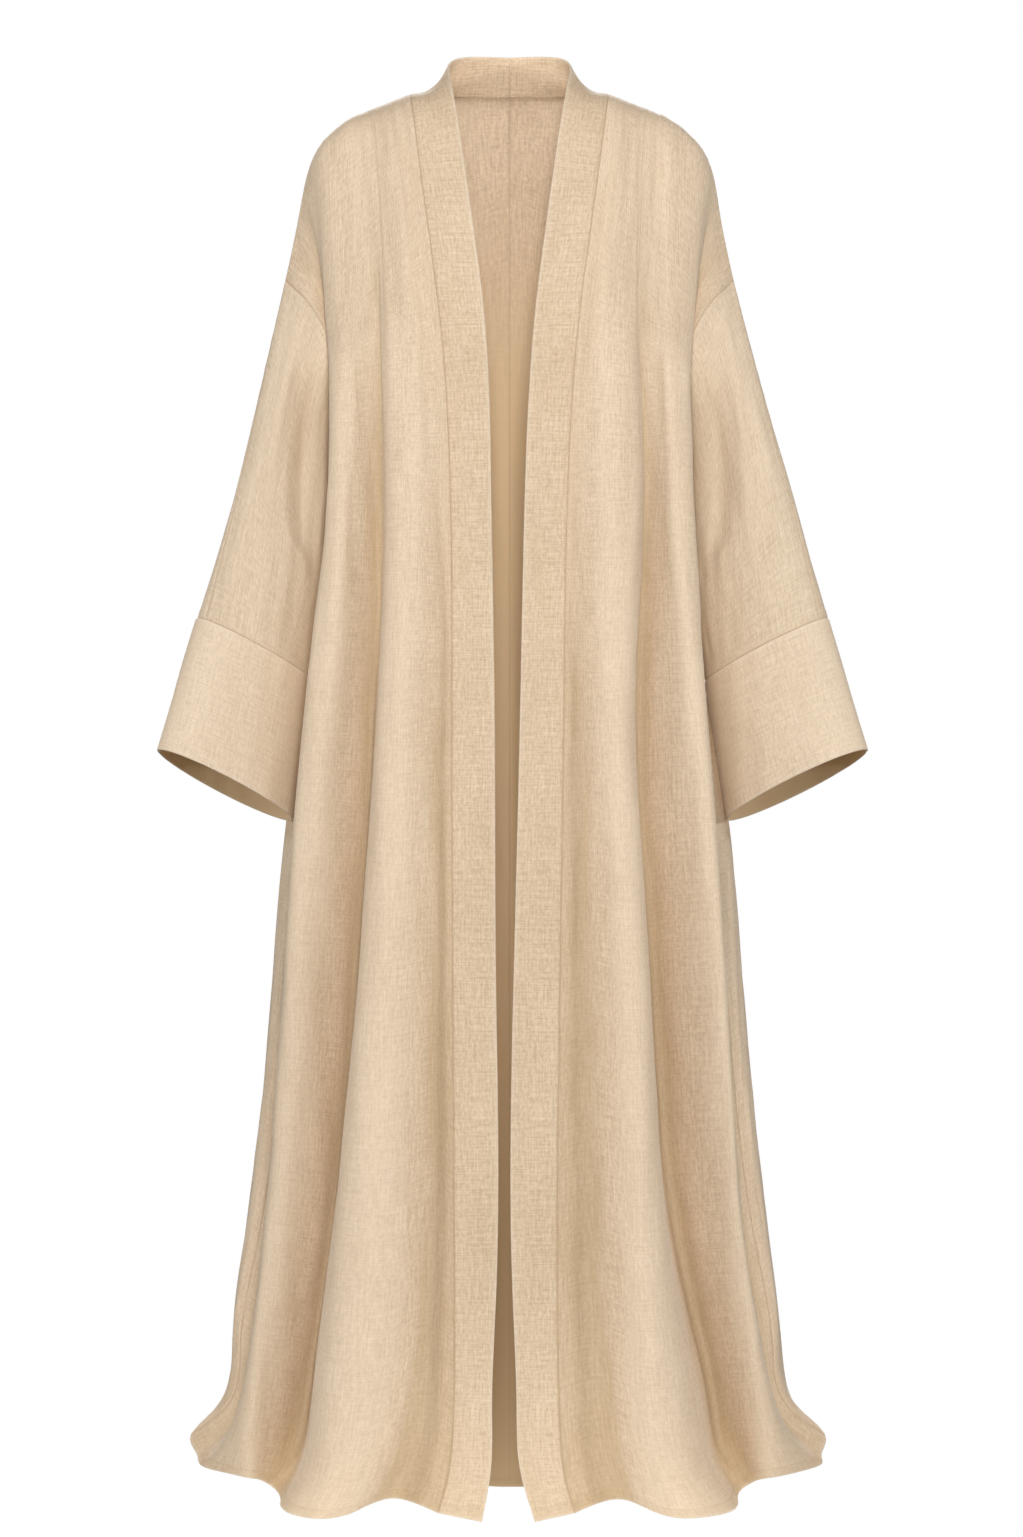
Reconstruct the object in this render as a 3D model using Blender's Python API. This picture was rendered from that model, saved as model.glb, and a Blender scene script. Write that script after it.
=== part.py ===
"""A long open-front abaya cloak in linen, in the form that it takes when it is worn, with no wearer inside.

X runs to the wearer's left, Y to the back and Z up. The origin is the middle of the neck opening, level with the
neck ends of the two shoulder seams, where the wearer's shoulders hold the cloak. The front faces -Y.

Every cloth piece is a wall round a middle surface. That surface passes through named folds, which run from the
shoulder to the hem, at named levels. Tables give each fold's place at each level on the wearer's right-hand side,
which is at -X. The other side is its mirror image, apart from the differences in LEFT_DIFFERENCE.
"""

import collections
import math

import bpy
import numpy as np

MM = 0.001

# Cloth
PANEL_THICK = 2.0 * MM
BAND_THICK = 3.0 * MM
CUFF_THICK = 3.0 * MM
SEAM_GAP = 0.3 * MM
LINEN = (0.75, 0.60, 0.45, 1.0)
LINEN_BAND = (0.74, 0.59, 0.44, 1.0)
LINEN_ROUGHNESS = 0.85

# Levels down the body, with the distance of each from the shoulder seam along the cloth, in metres
LEVELS = ("shoulder", "yoke", "chest", "bust", "underarm", "waist", "thigh", "shin", "ankle", "flare", "hem")
DOWN_CLOTH = (0.0, 0.036, 0.140, 0.290, 0.460, 0.640, 0.920, 1.240, 1.350, 1.418, 1.462)
UNDERARM = LEVELS.index("underarm")
UNDERARM_Z = -420
# How far from the underarm to the hem each lower level lies
LOWER_SHARE = {"waist": 0.18, "thigh": 0.46, "shin": 0.785, "ankle": 0.90, "flare": 0.965, "hem": 1.0}

# The front's folds, from the band's seam to the side seam. Each row has the fold's name, and its distance out
# from the centre line at each level, in mm.
FRONT_OUT = {
    "seam":  (98.9, 97.5, 85.0, 66.4, 57.4, 56.4, 55.4, 53.5, 54.3, 60.0, 69.7),
    "dip":   (107, 106, 94, 77, 68, 68, 70, 74, 80, 91, 107),
    "swell": (119, 118, 109, 98, 94, 98, 108, 124, 136, 152, 169),
    "lip":   (132, 130, 123, 121, 122, 130, 148, 178, 192, 204, 219),
    "fall":  (143, 141, 134, 133, 134, 140, 156, 188, 205, 219, 238),
    "crest": (159, 158, 159, 161, 165, 178, 203, 229, 247, 261, 277),
    "edge":  (178, 177, 175, 175, 179, 196, 218, 243, 259, 278, 303),
    "tuck":  (200, 194, 181, 164, 146, 160, 194, 228, 254, 281, 313),
    "side":  (224, 217, 197, 166, 152, 161, 203, 246, 270, 289, 319),
}
# The same folds' distance in front of the shoulder seam, in mm
FRONT_FORE = {
    "seam":  (0, 34, 83, 122, 136, 143, 152, 162, 165, 167, 172),
    "dip":   (0, 34, 84, 123, 136, 139, 144, 150, 151, 150, 146),
    "swell": (0, 34, 84, 127, 147, 158, 172, 186, 190, 192, 195),
    "lip":   (0, 33, 78, 116, 134, 144, 156, 166, 168, 168, 172),
    "fall":  (0, 32, 72, 104, 111, 109, 102, 98, 98, 104, 126),
    "crest": (0, 31, 66, 99, 115, 119, 121, 118, 114, 108, 102),
    "edge":  (0, 27, 54, 82, 90, 92, 90, 84, 80, 72, 64),
    "tuck":  (0, 19, 36, 50, 46, 42, 36, 32, 30, 27, 22),
    "side":  (0, 12, 38, 36, 0, 0, -2, -6, -10, -16, -26),
}
# The back's folds, from the side seam to the centre back seam, laid out in the same way
BACK_OUT = {
    "side":   (224, 219, 205, 174, 152, 161, 203, 246, 270, 289, 319),
    "rim":    (200, 198, 186, 161, 148, 174, 227, 267, 281, 291, 312),
    "turn":   (178, 177, 164, 148, 146, 164, 202, 237, 254, 264, 282),
    "hollow": (152, 151, 136, 126, 119, 123, 144, 170, 184, 193, 206),
    "roll":   (125, 124, 110, 97, 85, 84, 96, 115, 125, 134, 147),
    "neck":   (98.9, 97.5, 82, 67, 57, 55, 60, 68, 72, 76, 84),
    "nape":   (56, 54, 43, 34, 28, 27, 30, 34, 36, 38, 42),
    "centre": (0, 0, 0, 0, 0, 0, 0, 0, 0, 0, 0),
}
BACK_AFT = {
    "side":   (0, 14, 48, 46, 0, 0, 2, 6, 10, 16, 26),
    "rim":    (0, 22, 54, 76, 52, 54, 50, 48, 52, 60, 76),
    "turn":   (0, 28, 66, 95, 89, 98, 116, 134, 142, 152, 170),
    "hollow": (0, 31, 77, 107, 107, 106, 108, 114, 120, 128, 142),
    "roll":   (0, 33, 86, 115, 122, 132, 150, 174, 184, 194, 210),
    "neck":   (0, 36, 93, 117, 115, 115, 119, 128, 133, 140, 152),
    "nape":   (60, 72, 101, 116, 118, 125, 139, 158, 166, 174, 187),
    "centre": (75, 82, 103, 114, 113, 117, 127, 141, 148, 156, 168),
}
# Heights of the folds along the shoulder seam and the back neck, and at the hem, in mm
FRONT_TOP = {
    "seam": 0, "dip": -3, "swell": -8, "lip": -13, "fall": -17.5, "crest": -25, "edge": -39, "tuck": -86, "side": -186,
}
FRONT_HEM = {
    "seam": -1400, "dip": -1389, "swell": -1402, "lip": -1400, "fall": -1384, "crest": -1370, "edge": -1363,
    "tuck": -1354, "side": -1343,
}
BACK_TOP = {
    "side": -186, "rim": -86, "turn": -39, "hollow": -21.5, "roll": -10.5, "neck": 0, "nape": 4, "centre": 4.6,
}
BACK_HEM = {
    "side": -1343, "rim": -1350, "turn": -1374, "hollow": -1384, "roll": -1402, "neck": -1400, "nape": -1409,
    "centre": -1409,
}
# How far the yoke level lies below the shoulder seam, in mm: by the neck, and at the armhole
YOKE_DROP = (9, 7)
# Heights of the next levels, in mm: by the neck, and at the armhole
UPPER_Z = {"chest": (-105, -214), "bust": (-250, -285), "underarm": (UNDERARM_Z, UNDERARM_Z)}

# How far the wearer's left-hand side differs from the mirror image of the right, in mm outwards, at the lower levels
LOWER_LEVELS = LEVELS[UNDERARM:]
LEFT_DIFFERENCE = {
    "opening": (-3, -4, -9, -10, -10, -7, -2),
    "seam":  (-1, -3, -6, -7, -6, -6, -6),
    "dip":   (0, 0, 2, 4, 5, 2, -3),
    "swell": (4, -2, 3, 0, -2, -5, -8),
    "lip":   (5, -6, -9, -18, -14, -10, -5),
    "fall":  (6, -5, -7, -7, 2, 0, -2),
    "crest": (0, 3, 2, -2, -3, -2, 0),
    "edge":  (1, -4, -7, -9, -6, -3, 0),
    "tuck":  (0, 0, -3, -6, -6, -4, -1),
    "side":  (0, 0, -3, -6, -6, -5, -3),
    "rim":   (0, -2, -5, -6, -7, -5, -3),
    "turn":  (0, 3, 5, 6, 5, 4, 3),
    "hollow": (0, 3, 7, 9, 8, 6, 4),
    "roll":  (0, -3, -7, -8, -7, -5, -3),
}

# The band that edges the front and stands at the back neck. Each row has a station along it and its folded edge's
# place, in mm: out, back and up. At the front levels the edge is as high as the seam.
BAND_EDGE = {
    "hem":      (26.8, -178, -1408),
    "flare":    (19.0, -172, None),
    "ankle":    (17.0, -170, None),
    "shin":     (13.1, -168, None),
    "thigh":    (13.2, -157, None),
    "waist":    (14.8, -149, None),
    "underarm": (17.6, -142, None),
    "bust":     (22.8, -128, None),
    "chest":    (40.4, -96, None),
    "yoke":     (57.0, -42, 4),
    "shoulder": (60.5, -8, 22),
    "nape":     (47.0, 44, 42),
    "centre":   (0.0, 62, 43.5),
}
# How far the middle of the band's width lies below the straight line across it, in mm
BAND_HOLLOW = {"yoke": 3.0, "shoulder": 7.0, "nape": 4.0, "centre": 0.5}

# The sleeve, from the armhole to the cuff's edge. Each row has a station, its share of the sleeve's length, the
# overarm line's and the underarm line's place (out and up, in mm), the half depth to the front and to the back, how
# far the front is raised and the back lowered, and how much further out the overarm line is on the wearer's left.
SLEEVE = {
    "armhole": (0.00, (224, -186), (152, -420), 36, 38, 0, 0),
    "upper":   (0.30, (246, -285), (171, -460), 49, 54, 3, 3),
    "lower":   (0.60, (271, -390), (183, -515), 51, 56, 6, 8),
    "wrist":   (1.00, (311, -525), (197, -587), 50, 53, 8, 6.5),
    "edge":    (1.38, (350, -657), (218, -724), 49, 51, 11, 6),
}
SLEEVE_FORWARD = 6  # mm that the cuff's edge lies in front of the armhole
ARMHOLE_BLEND = 0.5  # the share of the sleeve over which the armhole's own shape fades out
EVEN_FROM = 0.6  # the share of the sleeve from which its rings' points are evenly spaced
OVERARM_TURN = math.radians(32)  # how far the overarm seam has turned to the front by the cuff
SLEEVE_FOLD_DEPTH = 12  # mm
SLEEVE_FOLD_AT = (0.36, 0.60)  # of the way round the front from the overarm line, at the armhole and at the cuff
SLEEVE_FOLD_WIDTH = 0.12
CUFF_PROUD = 1.0 * MM  # how far the cuff's middle surface stands out from the sleeve's

# At a seam where two walls meet at an angle, both are cut back along the angle's bisector, up to this sharpness
SHARPEST_MITRE = 0.7
SAME_POINT = 0.02 * MM  # points of two pieces this near are one point of a seam
CROWDED = 4  # as many pieces as meet under the arm and at either end of the shoulder seam
CROWDED_GAP = 0.8 * MM  # how much further each of them is cut back there

SHARP_ANGLE = math.radians(50)
RIM_RANK = (0.0, 0.37, 1.0)  # the direction that tells which end of a rim's quad its diagonal starts from

# Mesh steps between neighbouring folds and levels
# The front, and the back out from the neck, have as many steps along the shoulder seam, 22.
FRONT_STEPS = (2, 3, 3, 3, 3, 3, 3, 2)
BACK_STEPS = (4, 4, 5, 5, 4, 3, 3)
LEVEL_STEPS = (2, 2, 3, 3, 3, 3, 4, 2, 2, 3)
BAND_STEPS_ACROSS = 3
SLEEVE_STEPS = 10
CUFF_STEPS = 3


def spline_weights(knots, at):
    """The matrix that turns values at the knots into the values, at other places, of the natural cubic spline
    through them."""
    knots = np.asarray(knots, float)
    at = np.asarray(at, float)
    count = len(knots)
    step = np.diff(knots)
    bend = np.eye(count)
    change = np.zeros((count, count))
    for i in range(1, count - 1):
        bend[i, i - 1 : i + 2] = step[i - 1], 2 * (step[i - 1] + step[i]), step[i]
        change[i, i - 1 : i + 2] = 6 / step[i - 1], -6 / step[i - 1] - 6 / step[i], 6 / step[i]
    second = np.linalg.solve(bend, change)
    span = np.clip(np.searchsorted(knots, at, side="right") - 1, 0, count - 2)
    width = step[span]
    right = (at - knots[span]) / width
    left = 1 - right
    rows = np.arange(len(at))
    weights = np.zeros((len(at), count))
    weights[rows, span] = left
    weights[rows, span + 1] += right
    weights += ((left**3 - left) * width**2 / 6)[:, None] * second[span]
    weights += ((right**3 - right) * width**2 / 6)[:, None] * second[span + 1]
    return weights


def stepped(knots, steps):
    """Places between the knots, with that many equal steps in each interval."""
    places = [np.linspace(a, b, n, endpoint=False) for a, b, n in zip(knots[:-1], knots[1:], steps)]
    return np.append(np.concatenate(places), knots[-1])


def differences(fold, side):
    """The fold's differences from the mirror image at each level, in mm."""
    found = np.zeros(len(LEVELS))
    if side == "left":
        for level, value in zip(LOWER_LEVELS, LEFT_DIFFERENCE.get(fold, ())):
            found[LEVELS.index(level)] = value
    return found


def control_net(out, depth, facing, top, hem, side):
    """The folds' places at the levels, as an array of levels by folds by X, Y, Z, with X still measured outwards."""
    folds = list(out)
    net = np.zeros((len(LEVELS), len(folds), 3))
    across = np.linspace(0, 1, len(folds)) if facing < 0 else np.linspace(1, 0, len(folds))
    for j, fold in enumerate(folds):
        net[:, j, 0] = np.array(out[fold]) + differences(fold, side)
        net[:, j, 1] = facing * np.array(depth[fold])
        for i, level in enumerate(LEVELS):
            if level == "shoulder":
                height = top[fold]
            elif level == "yoke":
                height = top[fold] - YOKE_DROP[0] * (1 - across[j] ** 4) - YOKE_DROP[1] * across[j] ** 4
            elif level in UPPER_Z:
                by_neck, at_armhole = UPPER_Z[level]
                height = by_neck + (at_armhole - by_neck) * across[j]
            else:
                height = UNDERARM_Z + (hem[fold] - UNDERARM_Z) * LOWER_SHARE[level]
            net[i, j, 2] = height
    return net * MM


def fold_knots(net):
    """How far round the body each fold lies, from the sections' mean lengths between folds."""
    gaps = np.linalg.norm(np.diff(net[UNDERARM:], axis=1), axis=2).mean(axis=0)
    return np.concatenate([[0], np.cumsum(gaps)])


def surface(net, knots, round_at, down_at):
    """Points of the smooth surface through a control net."""
    across = spline_weights(knots, round_at)
    down = spline_weights(DOWN_CLOTH, down_at)
    return np.einsum("ai,ijk,bj->abk", down, net, across)


def mirrored(points, side):
    """The points on their own side: the wearer's right is at -X."""
    return points * np.array([1.0 if side == "left" else -1.0, 1.0, 1.0])


def level_rows():
    """The places down the cloth of the mesh's rows, and the number of the row at the underarm."""
    return stepped(DOWN_CLOTH, LEVEL_STEPS), sum(LEVEL_STEPS[:UNDERARM])


def front_surface(side):
    """The front panel's middle surface, with its rows down the body and its columns from the band to the side."""
    net = control_net(FRONT_OUT, FRONT_FORE, -1, FRONT_TOP, FRONT_HEM, side)
    knots = fold_knots(net)
    return surface(net, knots, stepped(knots, FRONT_STEPS), level_rows()[0])


def back_surface(side):
    """One half of the back, with its columns from the side seam to the centre back seam. The spline runs on
    through the centre, so that the two halves meet smoothly."""
    other = "right" if side == "left" else "left"
    net = control_net(BACK_OUT, BACK_AFT, 1, BACK_TOP, BACK_HEM, side)
    beyond = control_net(BACK_OUT, BACK_AFT, 1, BACK_TOP, BACK_HEM, other)[:, -2::-1]
    beyond[:, :, 0] *= -1
    knots = fold_knots(net)
    whole = np.concatenate([net, beyond], axis=1)
    columns = stepped(knots, BACK_STEPS)
    return surface(whole, fold_knots(whole), columns, level_rows()[0])


def band_surface(side, front, back):
    """The band's middle surface, with its rows from the hem up to the shoulder and on to the centre back, and its
    columns from the seam to the folded edge."""
    neck_column = sum(BACK_STEPS[: list(BACK_OUT).index("neck")])
    seam = np.concatenate([front[::-1, 0], back[0, neck_column + 1 :]])
    along = np.concatenate([[0], np.cumsum(np.linalg.norm(np.diff(seam, axis=0), axis=1))])
    shoulder_row = sum(LEVEL_STEPS)
    rows = {level: shoulder_row - sum(LEVEL_STEPS[:i]) for i, level in enumerate(LEVELS)}
    rows["nape"] = shoulder_row + BACK_STEPS[-2]
    rows["centre"] = len(seam) - 1
    opening = dict(zip(LEVELS, differences("opening", side)))
    edge = []
    for station, (out, back_by, up) in BAND_EDGE.items():
        height = seam[rows[station], 2] if up is None else up * MM
        edge.append(((out + opening.get(station, 0)) * MM, back_by * MM, height))
    weights = spline_weights([along[rows[station]] for station in BAND_EDGE], along)
    edge = weights @ np.array(edge)
    middle = (seam + edge) / 2
    middle[:, 2] -= weights @ np.array([BAND_HOLLOW.get(station, 0) for station in BAND_EDGE]) * MM
    across = spline_weights((0, 0.5, 1), np.linspace(0, 1, BAND_STEPS_ACROSS + 1))
    return np.einsum("bj,ajk->abk", across, np.stack([seam, middle, edge], axis=1))


def join_shoulders(front, back):
    """Puts the back's top edge on the front's shoulder seam. The change fades out down to the chest."""
    seam = front[0, ::-1]
    reach = sum(LEVEL_STEPS[: LEVELS.index("chest")])
    change = seam - back[0, : len(seam)]
    for i in range(reach):
        back[i, : len(seam)] += change * (1 - i / reach)


def join_sides(front, back):
    """Gives the front and the back the same side seam below the underarm. The change fades out to either side."""
    underarm = level_rows()[1]
    change = (back[underarm:, 0] - front[underarm:, -1]) / 2
    for grid, steps, sign in ((front[:, ::-1], FRONT_STEPS[::-1], 1), (back, BACK_STEPS, -1)):
        reach = steps[0] + steps[1]
        for j in range(reach):
            grid[underarm:, j] += sign * change * (1 - j / reach)


def armhole_ring(front, back):
    """The armhole's points, from the shoulder down the front to the underarm and up the back."""
    _, underarm = level_rows()
    return np.concatenate([front[: underarm + 1, -1], back[underarm - 1 :: -1, 0]])


def round_sleeve(armhole):
    """The share of the way round the sleeve of each armhole point, from its height: 0 at the overarm line, 0.5 at
    the underarm."""
    height = armhole[:, 2]
    drop = (height[0] - height) / (height[0] - height.min())
    turn = np.arccos(1 - 2 * np.clip(drop, 0, 1)) / (2 * np.pi)
    half = len(armhole) // 2
    turn[half + 1 :] = 1 - turn[half + 1 :]
    return turn


def sleeve_rings(armhole, stations, side):
    """Rings of the sleeve's middle surface at those shares of its length, each with a point for each of the
    armhole's. Past the armhole each ring is an oval between the overarm line and the underarm line."""
    knots = [row[0] for row in SLEEVE.values()]
    table = np.array([(*over, *under, *rest) for _, over, under, *rest in SLEEVE.values()]) * MM
    by_height = round_sleeve(armhole)
    evenly = np.linspace(0, 1, len(armhole))
    rings = []
    for share, values in zip(stations, spline_weights(knots, stations) @ table):
        over_x, over_z, under_x, under_z, fore, aft, raised, left_out = values
        if side == "left":
            over_x += left_out
        turn = by_height + (evenly - by_height) * min(share / EVEN_FROM, 1.0)
        seam_turn = OVERARM_TURN * min(share, 1.0)
        angle = 2 * np.pi * turn
        angle += seam_turn * np.where(turn < 0.5, np.cos(angle / 2), 2 * turn - 1)
        cosine, sine = np.cos(angle), np.sin(angle)
        x = (over_x + under_x) / 2 + cosine * (over_x - under_x) / 2
        z = (over_z + under_z) / 2 + cosine * (over_z - under_z) / 2 + raised * sine
        y = np.where(sine > 0, -fore * sine, -aft * sine) - SLEEVE_FORWARD * MM * share / knots[-1]
        fold_at = SLEEVE_FOLD_AT[0] + (SLEEVE_FOLD_AT[1] - SLEEVE_FOLD_AT[0]) * share
        fold = np.exp(-(((angle / np.pi - fold_at) / SLEEVE_FOLD_WIDTH) ** 2))
        y += SLEEVE_FOLD_DEPTH * MM * fold * math.sin(math.pi * min(share / 1.2, 1.0)) ** 0.8
        fade = math.sin(math.pi / 2 * min(share / ARMHOLE_BLEND, 1.0))
        rings.append(armhole * (1 - fade) + np.stack([x, y, z], axis=1) * fade)
    return np.array(rings)


def all_surfaces(side):
    """Every piece's middle surface on one side, by name, with X measured outwards."""
    front = front_surface(side)
    back = back_surface(side)
    join_shoulders(front, back)
    join_sides(front, back)
    band = band_surface(side, front, back)
    armhole = armhole_ring(front, back)
    sleeve = sleeve_rings(armhole, np.linspace(0, 1, SLEEVE_STEPS + 1), side)
    cuff = sleeve_rings(armhole, np.linspace(1, SLEEVE["edge"][0], CUFF_STEPS + 1), side)
    half = len(armhole) // 2
    return {
        "front": front,
        "back": back,
        "band": band,
        "sleeve_front": sleeve[:, : half + 1],
        "sleeve_back": sleeve[:, half:],
        "cuff": cuff,
    }


def corner_normals(grid):
    """The normal that each quad of a grid gives its four corners, as one grid-sized array for each corner."""
    normal = np.cross(grid[1:, 1:] - grid[:-1, :-1], grid[:-1, 1:] - grid[1:, :-1])
    for rows in (slice(None, -1), slice(1, None)):
        for columns in (slice(None, -1), slice(1, None)):
            whole = np.zeros_like(grid)
            whole[rows, columns] = normal
            yield whole


def unit(vectors):
    """The vectors, each made one long."""
    return vectors / np.linalg.norm(vectors, axis=-1, keepdims=True)


def seam_points(grids):
    """For every grid, one key for each of its points. Points that several grids share have the same key."""
    return {
        name: [tuple(key) for key in np.rint(grid.reshape(-1, 3) / SAME_POINT).astype(int)]
        for name, grid in grids.items()
    }


def wall_directions(grids):
    """For every grid, the direction from its middle surface to its outer face at each point, longer than one where
    two pieces meet at an angle. Points that several grids share get one direction, so that the walls meet there."""
    own = {name: unit(sum(corner_normals(grid))).reshape(-1, 3) for name, grid in grids.items()}
    keys = seam_points(grids)
    total, lean = {}, {}
    for name in grids:
        for key, normal in zip(keys[name], own[name]):
            total[key] = total.get(key, 0) + normal
    for name in grids:
        for key, normal in zip(keys[name], own[name]):
            lean[key] = min(lean.get(key, 1.0), unit(total[key]) @ normal)
    found = {}
    for name, grid in grids.items():
        mitred = [unit(total[key]) / max(lean[key], SHARPEST_MITRE) for key in keys[name]]
        found[name] = np.array(mitred).reshape(grid.shape)
    return found


def crowded_points(grids):
    """For every grid, the rows and columns of the points where as many pieces as CROWDED meet."""
    keys = seam_points(grids)
    sharers = collections.Counter(key for own in keys.values() for key in set(own))
    found = {}
    for name, grid in grids.items():
        crowded = np.array([sharers[key] >= CROWDED for key in keys[name]])
        found[name] = np.argwhere(crowded.reshape(grid.shape[:2]))
    return found


def drawn_back(grid, edges, crowded):
    """The grid with the named edges moved in along the surface, which leaves the gap at a seam, and its crowded
    points moved in further."""
    moved = grid.copy()
    for edge in edges:
        border, inner = {
            "first_row": ((0, slice(None)), (1, slice(None))),
            "last_row": ((-1, slice(None)), (-2, slice(None))),
            "first_column": ((slice(None), 0), (slice(None), 1)),
            "last_column": ((slice(None), -1), (slice(None), -2)),
        }[edge]
        moved[border] += unit(grid[inner] - grid[border]) * SEAM_GAP / 2
    for i, j in crowded:
        rows = [row for row in (i - 1, i + 1) if 0 <= row < len(grid)]
        moved[i, j] += unit(grid[rows, j - 1 if j else 1].mean(axis=0) - grid[i, j]) * CROWDED_GAP
    return moved


def wall_mesh(name, grid, directions, thick, closed_round):
    """A closed wall of the given thickness round a grid of points, which may be closed round its columns. Solidify
    would give each piece's edges their own direction, and the walls would cross where pieces meet at an angle."""
    rows, columns = grid.shape[:2]
    if closed_round:
        columns -= 1
        grid, directions = grid[:, :-1], directions[:, :-1]
    outer = grid + directions * thick / 2
    inner = grid - directions * thick / 2
    points = np.concatenate([outer.reshape(-1, 3), inner.reshape(-1, 3)])
    rank = grid.reshape(-1, 3) @ np.array(RIM_RANK)
    inside = rows * columns
    last = columns if closed_round else columns - 1
    faces, rim = [], []
    for i in range(rows - 1):
        for j in range(last):
            a, b = i * columns + j, i * columns + (j + 1) % columns
            faces.append((a, a + columns, b + columns, b))
            faces.append((inside + a, inside + b, inside + b + columns, inside + a + columns))
    for j in range(last):
        a, b = j, (j + 1) % columns
        rim.append((a, b))
        rim.append((b + (rows - 1) * columns, a + (rows - 1) * columns))
    if not closed_round:
        for a in range(0, (rows - 1) * columns, columns):
            rim.append((a + columns, a))
            rim.append((a + columns - 1, a + 2 * columns - 1))
    for a, b in rim:
        # Both pieces at a seam split the quads of their facing edges along the same diagonal.
        if rank[a] < rank[b]:
            faces += [(a, b, inside + b), (a, inside + b, inside + a)]
        else:
            faces += [(a, b, inside + a), (b, inside + b, inside + a)]
    mesh = bpy.data.meshes.new(name)
    mesh.from_pydata(points.tolist(), [], faces)
    mesh.validate()
    return mesh


def cloth_material(name, colour):
    """A plain cloth finish."""
    material = bpy.data.materials.new(name)
    material.use_nodes = True
    shader = material.node_tree.nodes["Principled BSDF"]
    shader.inputs["Base Color"].default_value = colour
    shader.inputs["Roughness"].default_value = LINEN_ROUGHNESS
    shader.inputs["Metallic"].default_value = 0.0
    return material


# Each piece's wall thickness, and the edges where it is sewn to a neighbour
PIECES = {
    "front": (PANEL_THICK, ("first_row", "first_column", "last_column")),
    "back": (PANEL_THICK, ("first_row", "first_column", "last_column")),
    "band": (BAND_THICK, ("last_row", "first_column")),
    "sleeve_front": (PANEL_THICK, ("first_row", "last_row", "first_column", "last_column")),
    "sleeve_back": (PANEL_THICK, ("first_row", "last_row", "first_column", "last_column")),
    "cuff": (CUFF_THICK, ("first_row",)),
}


OTHER_END = {"first_column": "last_column", "last_column": "first_column"}


def turned(piece, side):
    """Whether the columns have to run the other way for the grid to face outwards."""
    return (side == "right") != (piece in ("sleeve_front", "sleeve_back", "cuff"))


def main():
    """Clears the scene and builds the cloak."""
    for old in list(bpy.data.objects):
        bpy.data.objects.remove(old)
    cloak = bpy.data.collections.new("abaya")
    bpy.context.scene.collection.children.link(cloak)
    linen = cloth_material("linen", LINEN)
    band_linen = cloth_material("linen_band", LINEN_BAND)
    grids = {}
    for side in ("right", "left"):
        for piece, grid in all_surfaces(side).items():
            grids[f"{piece}_{side}"] = mirrored(grid, side)[:, :: -1 if turned(piece, side) else 1]
    directions = wall_directions(grids)
    crowded = crowded_points(grids)
    for name, grid in grids.items():
        piece, side = name.rsplit("_", 1)
        thick, edges = PIECES[piece]
        if turned(piece, side):
            edges = [OTHER_END.get(edge, edge) for edge in edges]
        if piece == "cuff":
            grid = grid + directions[name] * CUFF_PROUD
        grid = drawn_back(grid, edges, crowded[name])
        mesh = wall_mesh(name, grid, directions[name], thick, piece == "cuff")
        mesh.materials.append(band_linen if piece in ("band", "cuff") else linen)
        mesh.shade_smooth()
        mesh.set_sharp_from_angle(angle=SHARP_ANGLE)
        cloak.objects.link(bpy.data.objects.new(name, mesh))


if __name__ == "__main__":
    main()
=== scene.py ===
"""The looks of a long open-front abaya cloak in natural linen, in its worn form with no wearer.

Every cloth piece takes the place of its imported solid. It follows the solid's folds, at a finer spacing,
with soft creases, pressed seams, a stitched hem and rounded edges. X runs to the wearer's left, Y to the
back and Z up, in metres, and the front faces -Y.
"""

from __future__ import annotations

import enum
import logging
import math
from collections.abc import Iterable, Sequence
from dataclasses import dataclass, replace

import bpy
import numpy as np
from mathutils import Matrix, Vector

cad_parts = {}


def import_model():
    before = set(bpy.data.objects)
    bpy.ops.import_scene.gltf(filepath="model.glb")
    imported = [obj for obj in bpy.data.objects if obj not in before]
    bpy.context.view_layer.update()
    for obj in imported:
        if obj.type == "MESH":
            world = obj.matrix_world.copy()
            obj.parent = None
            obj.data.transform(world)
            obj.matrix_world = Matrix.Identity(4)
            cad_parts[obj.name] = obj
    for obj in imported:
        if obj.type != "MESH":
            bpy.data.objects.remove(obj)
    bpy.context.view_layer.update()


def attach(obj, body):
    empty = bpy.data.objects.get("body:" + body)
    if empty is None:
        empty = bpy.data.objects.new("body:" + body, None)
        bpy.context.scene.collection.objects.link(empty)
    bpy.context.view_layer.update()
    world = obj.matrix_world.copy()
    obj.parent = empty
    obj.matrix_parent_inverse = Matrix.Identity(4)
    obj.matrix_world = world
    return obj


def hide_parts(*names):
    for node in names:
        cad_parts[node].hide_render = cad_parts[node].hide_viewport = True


log = logging.getLogger("abaya")

MM = 0.001
ABOUT_A_TURN = 6.3
BODY = "root"
Points = np.ndarray


class Side(enum.Enum):
    """The two sides of the cloak, as its wearer names them."""

    RIGHT = "right"
    LEFT = "left"

    @property
    def sign(self) -> float:
        """Which way the side lies along X."""
        return 1.0 if self is Side.LEFT else -1.0

    @property
    def other(self) -> Side:
        """The opposite side."""
        return Side.RIGHT if self is Side.LEFT else Side.LEFT


class Finish(enum.Enum):
    """How one edge of a cloth piece is finished."""

    SEAM = "sewn to a neighbour"
    FOLD = "a folded, pressed edge"
    HEM = "turned up and stitched"
    INSIDE = "runs on into the same cloth"


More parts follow.
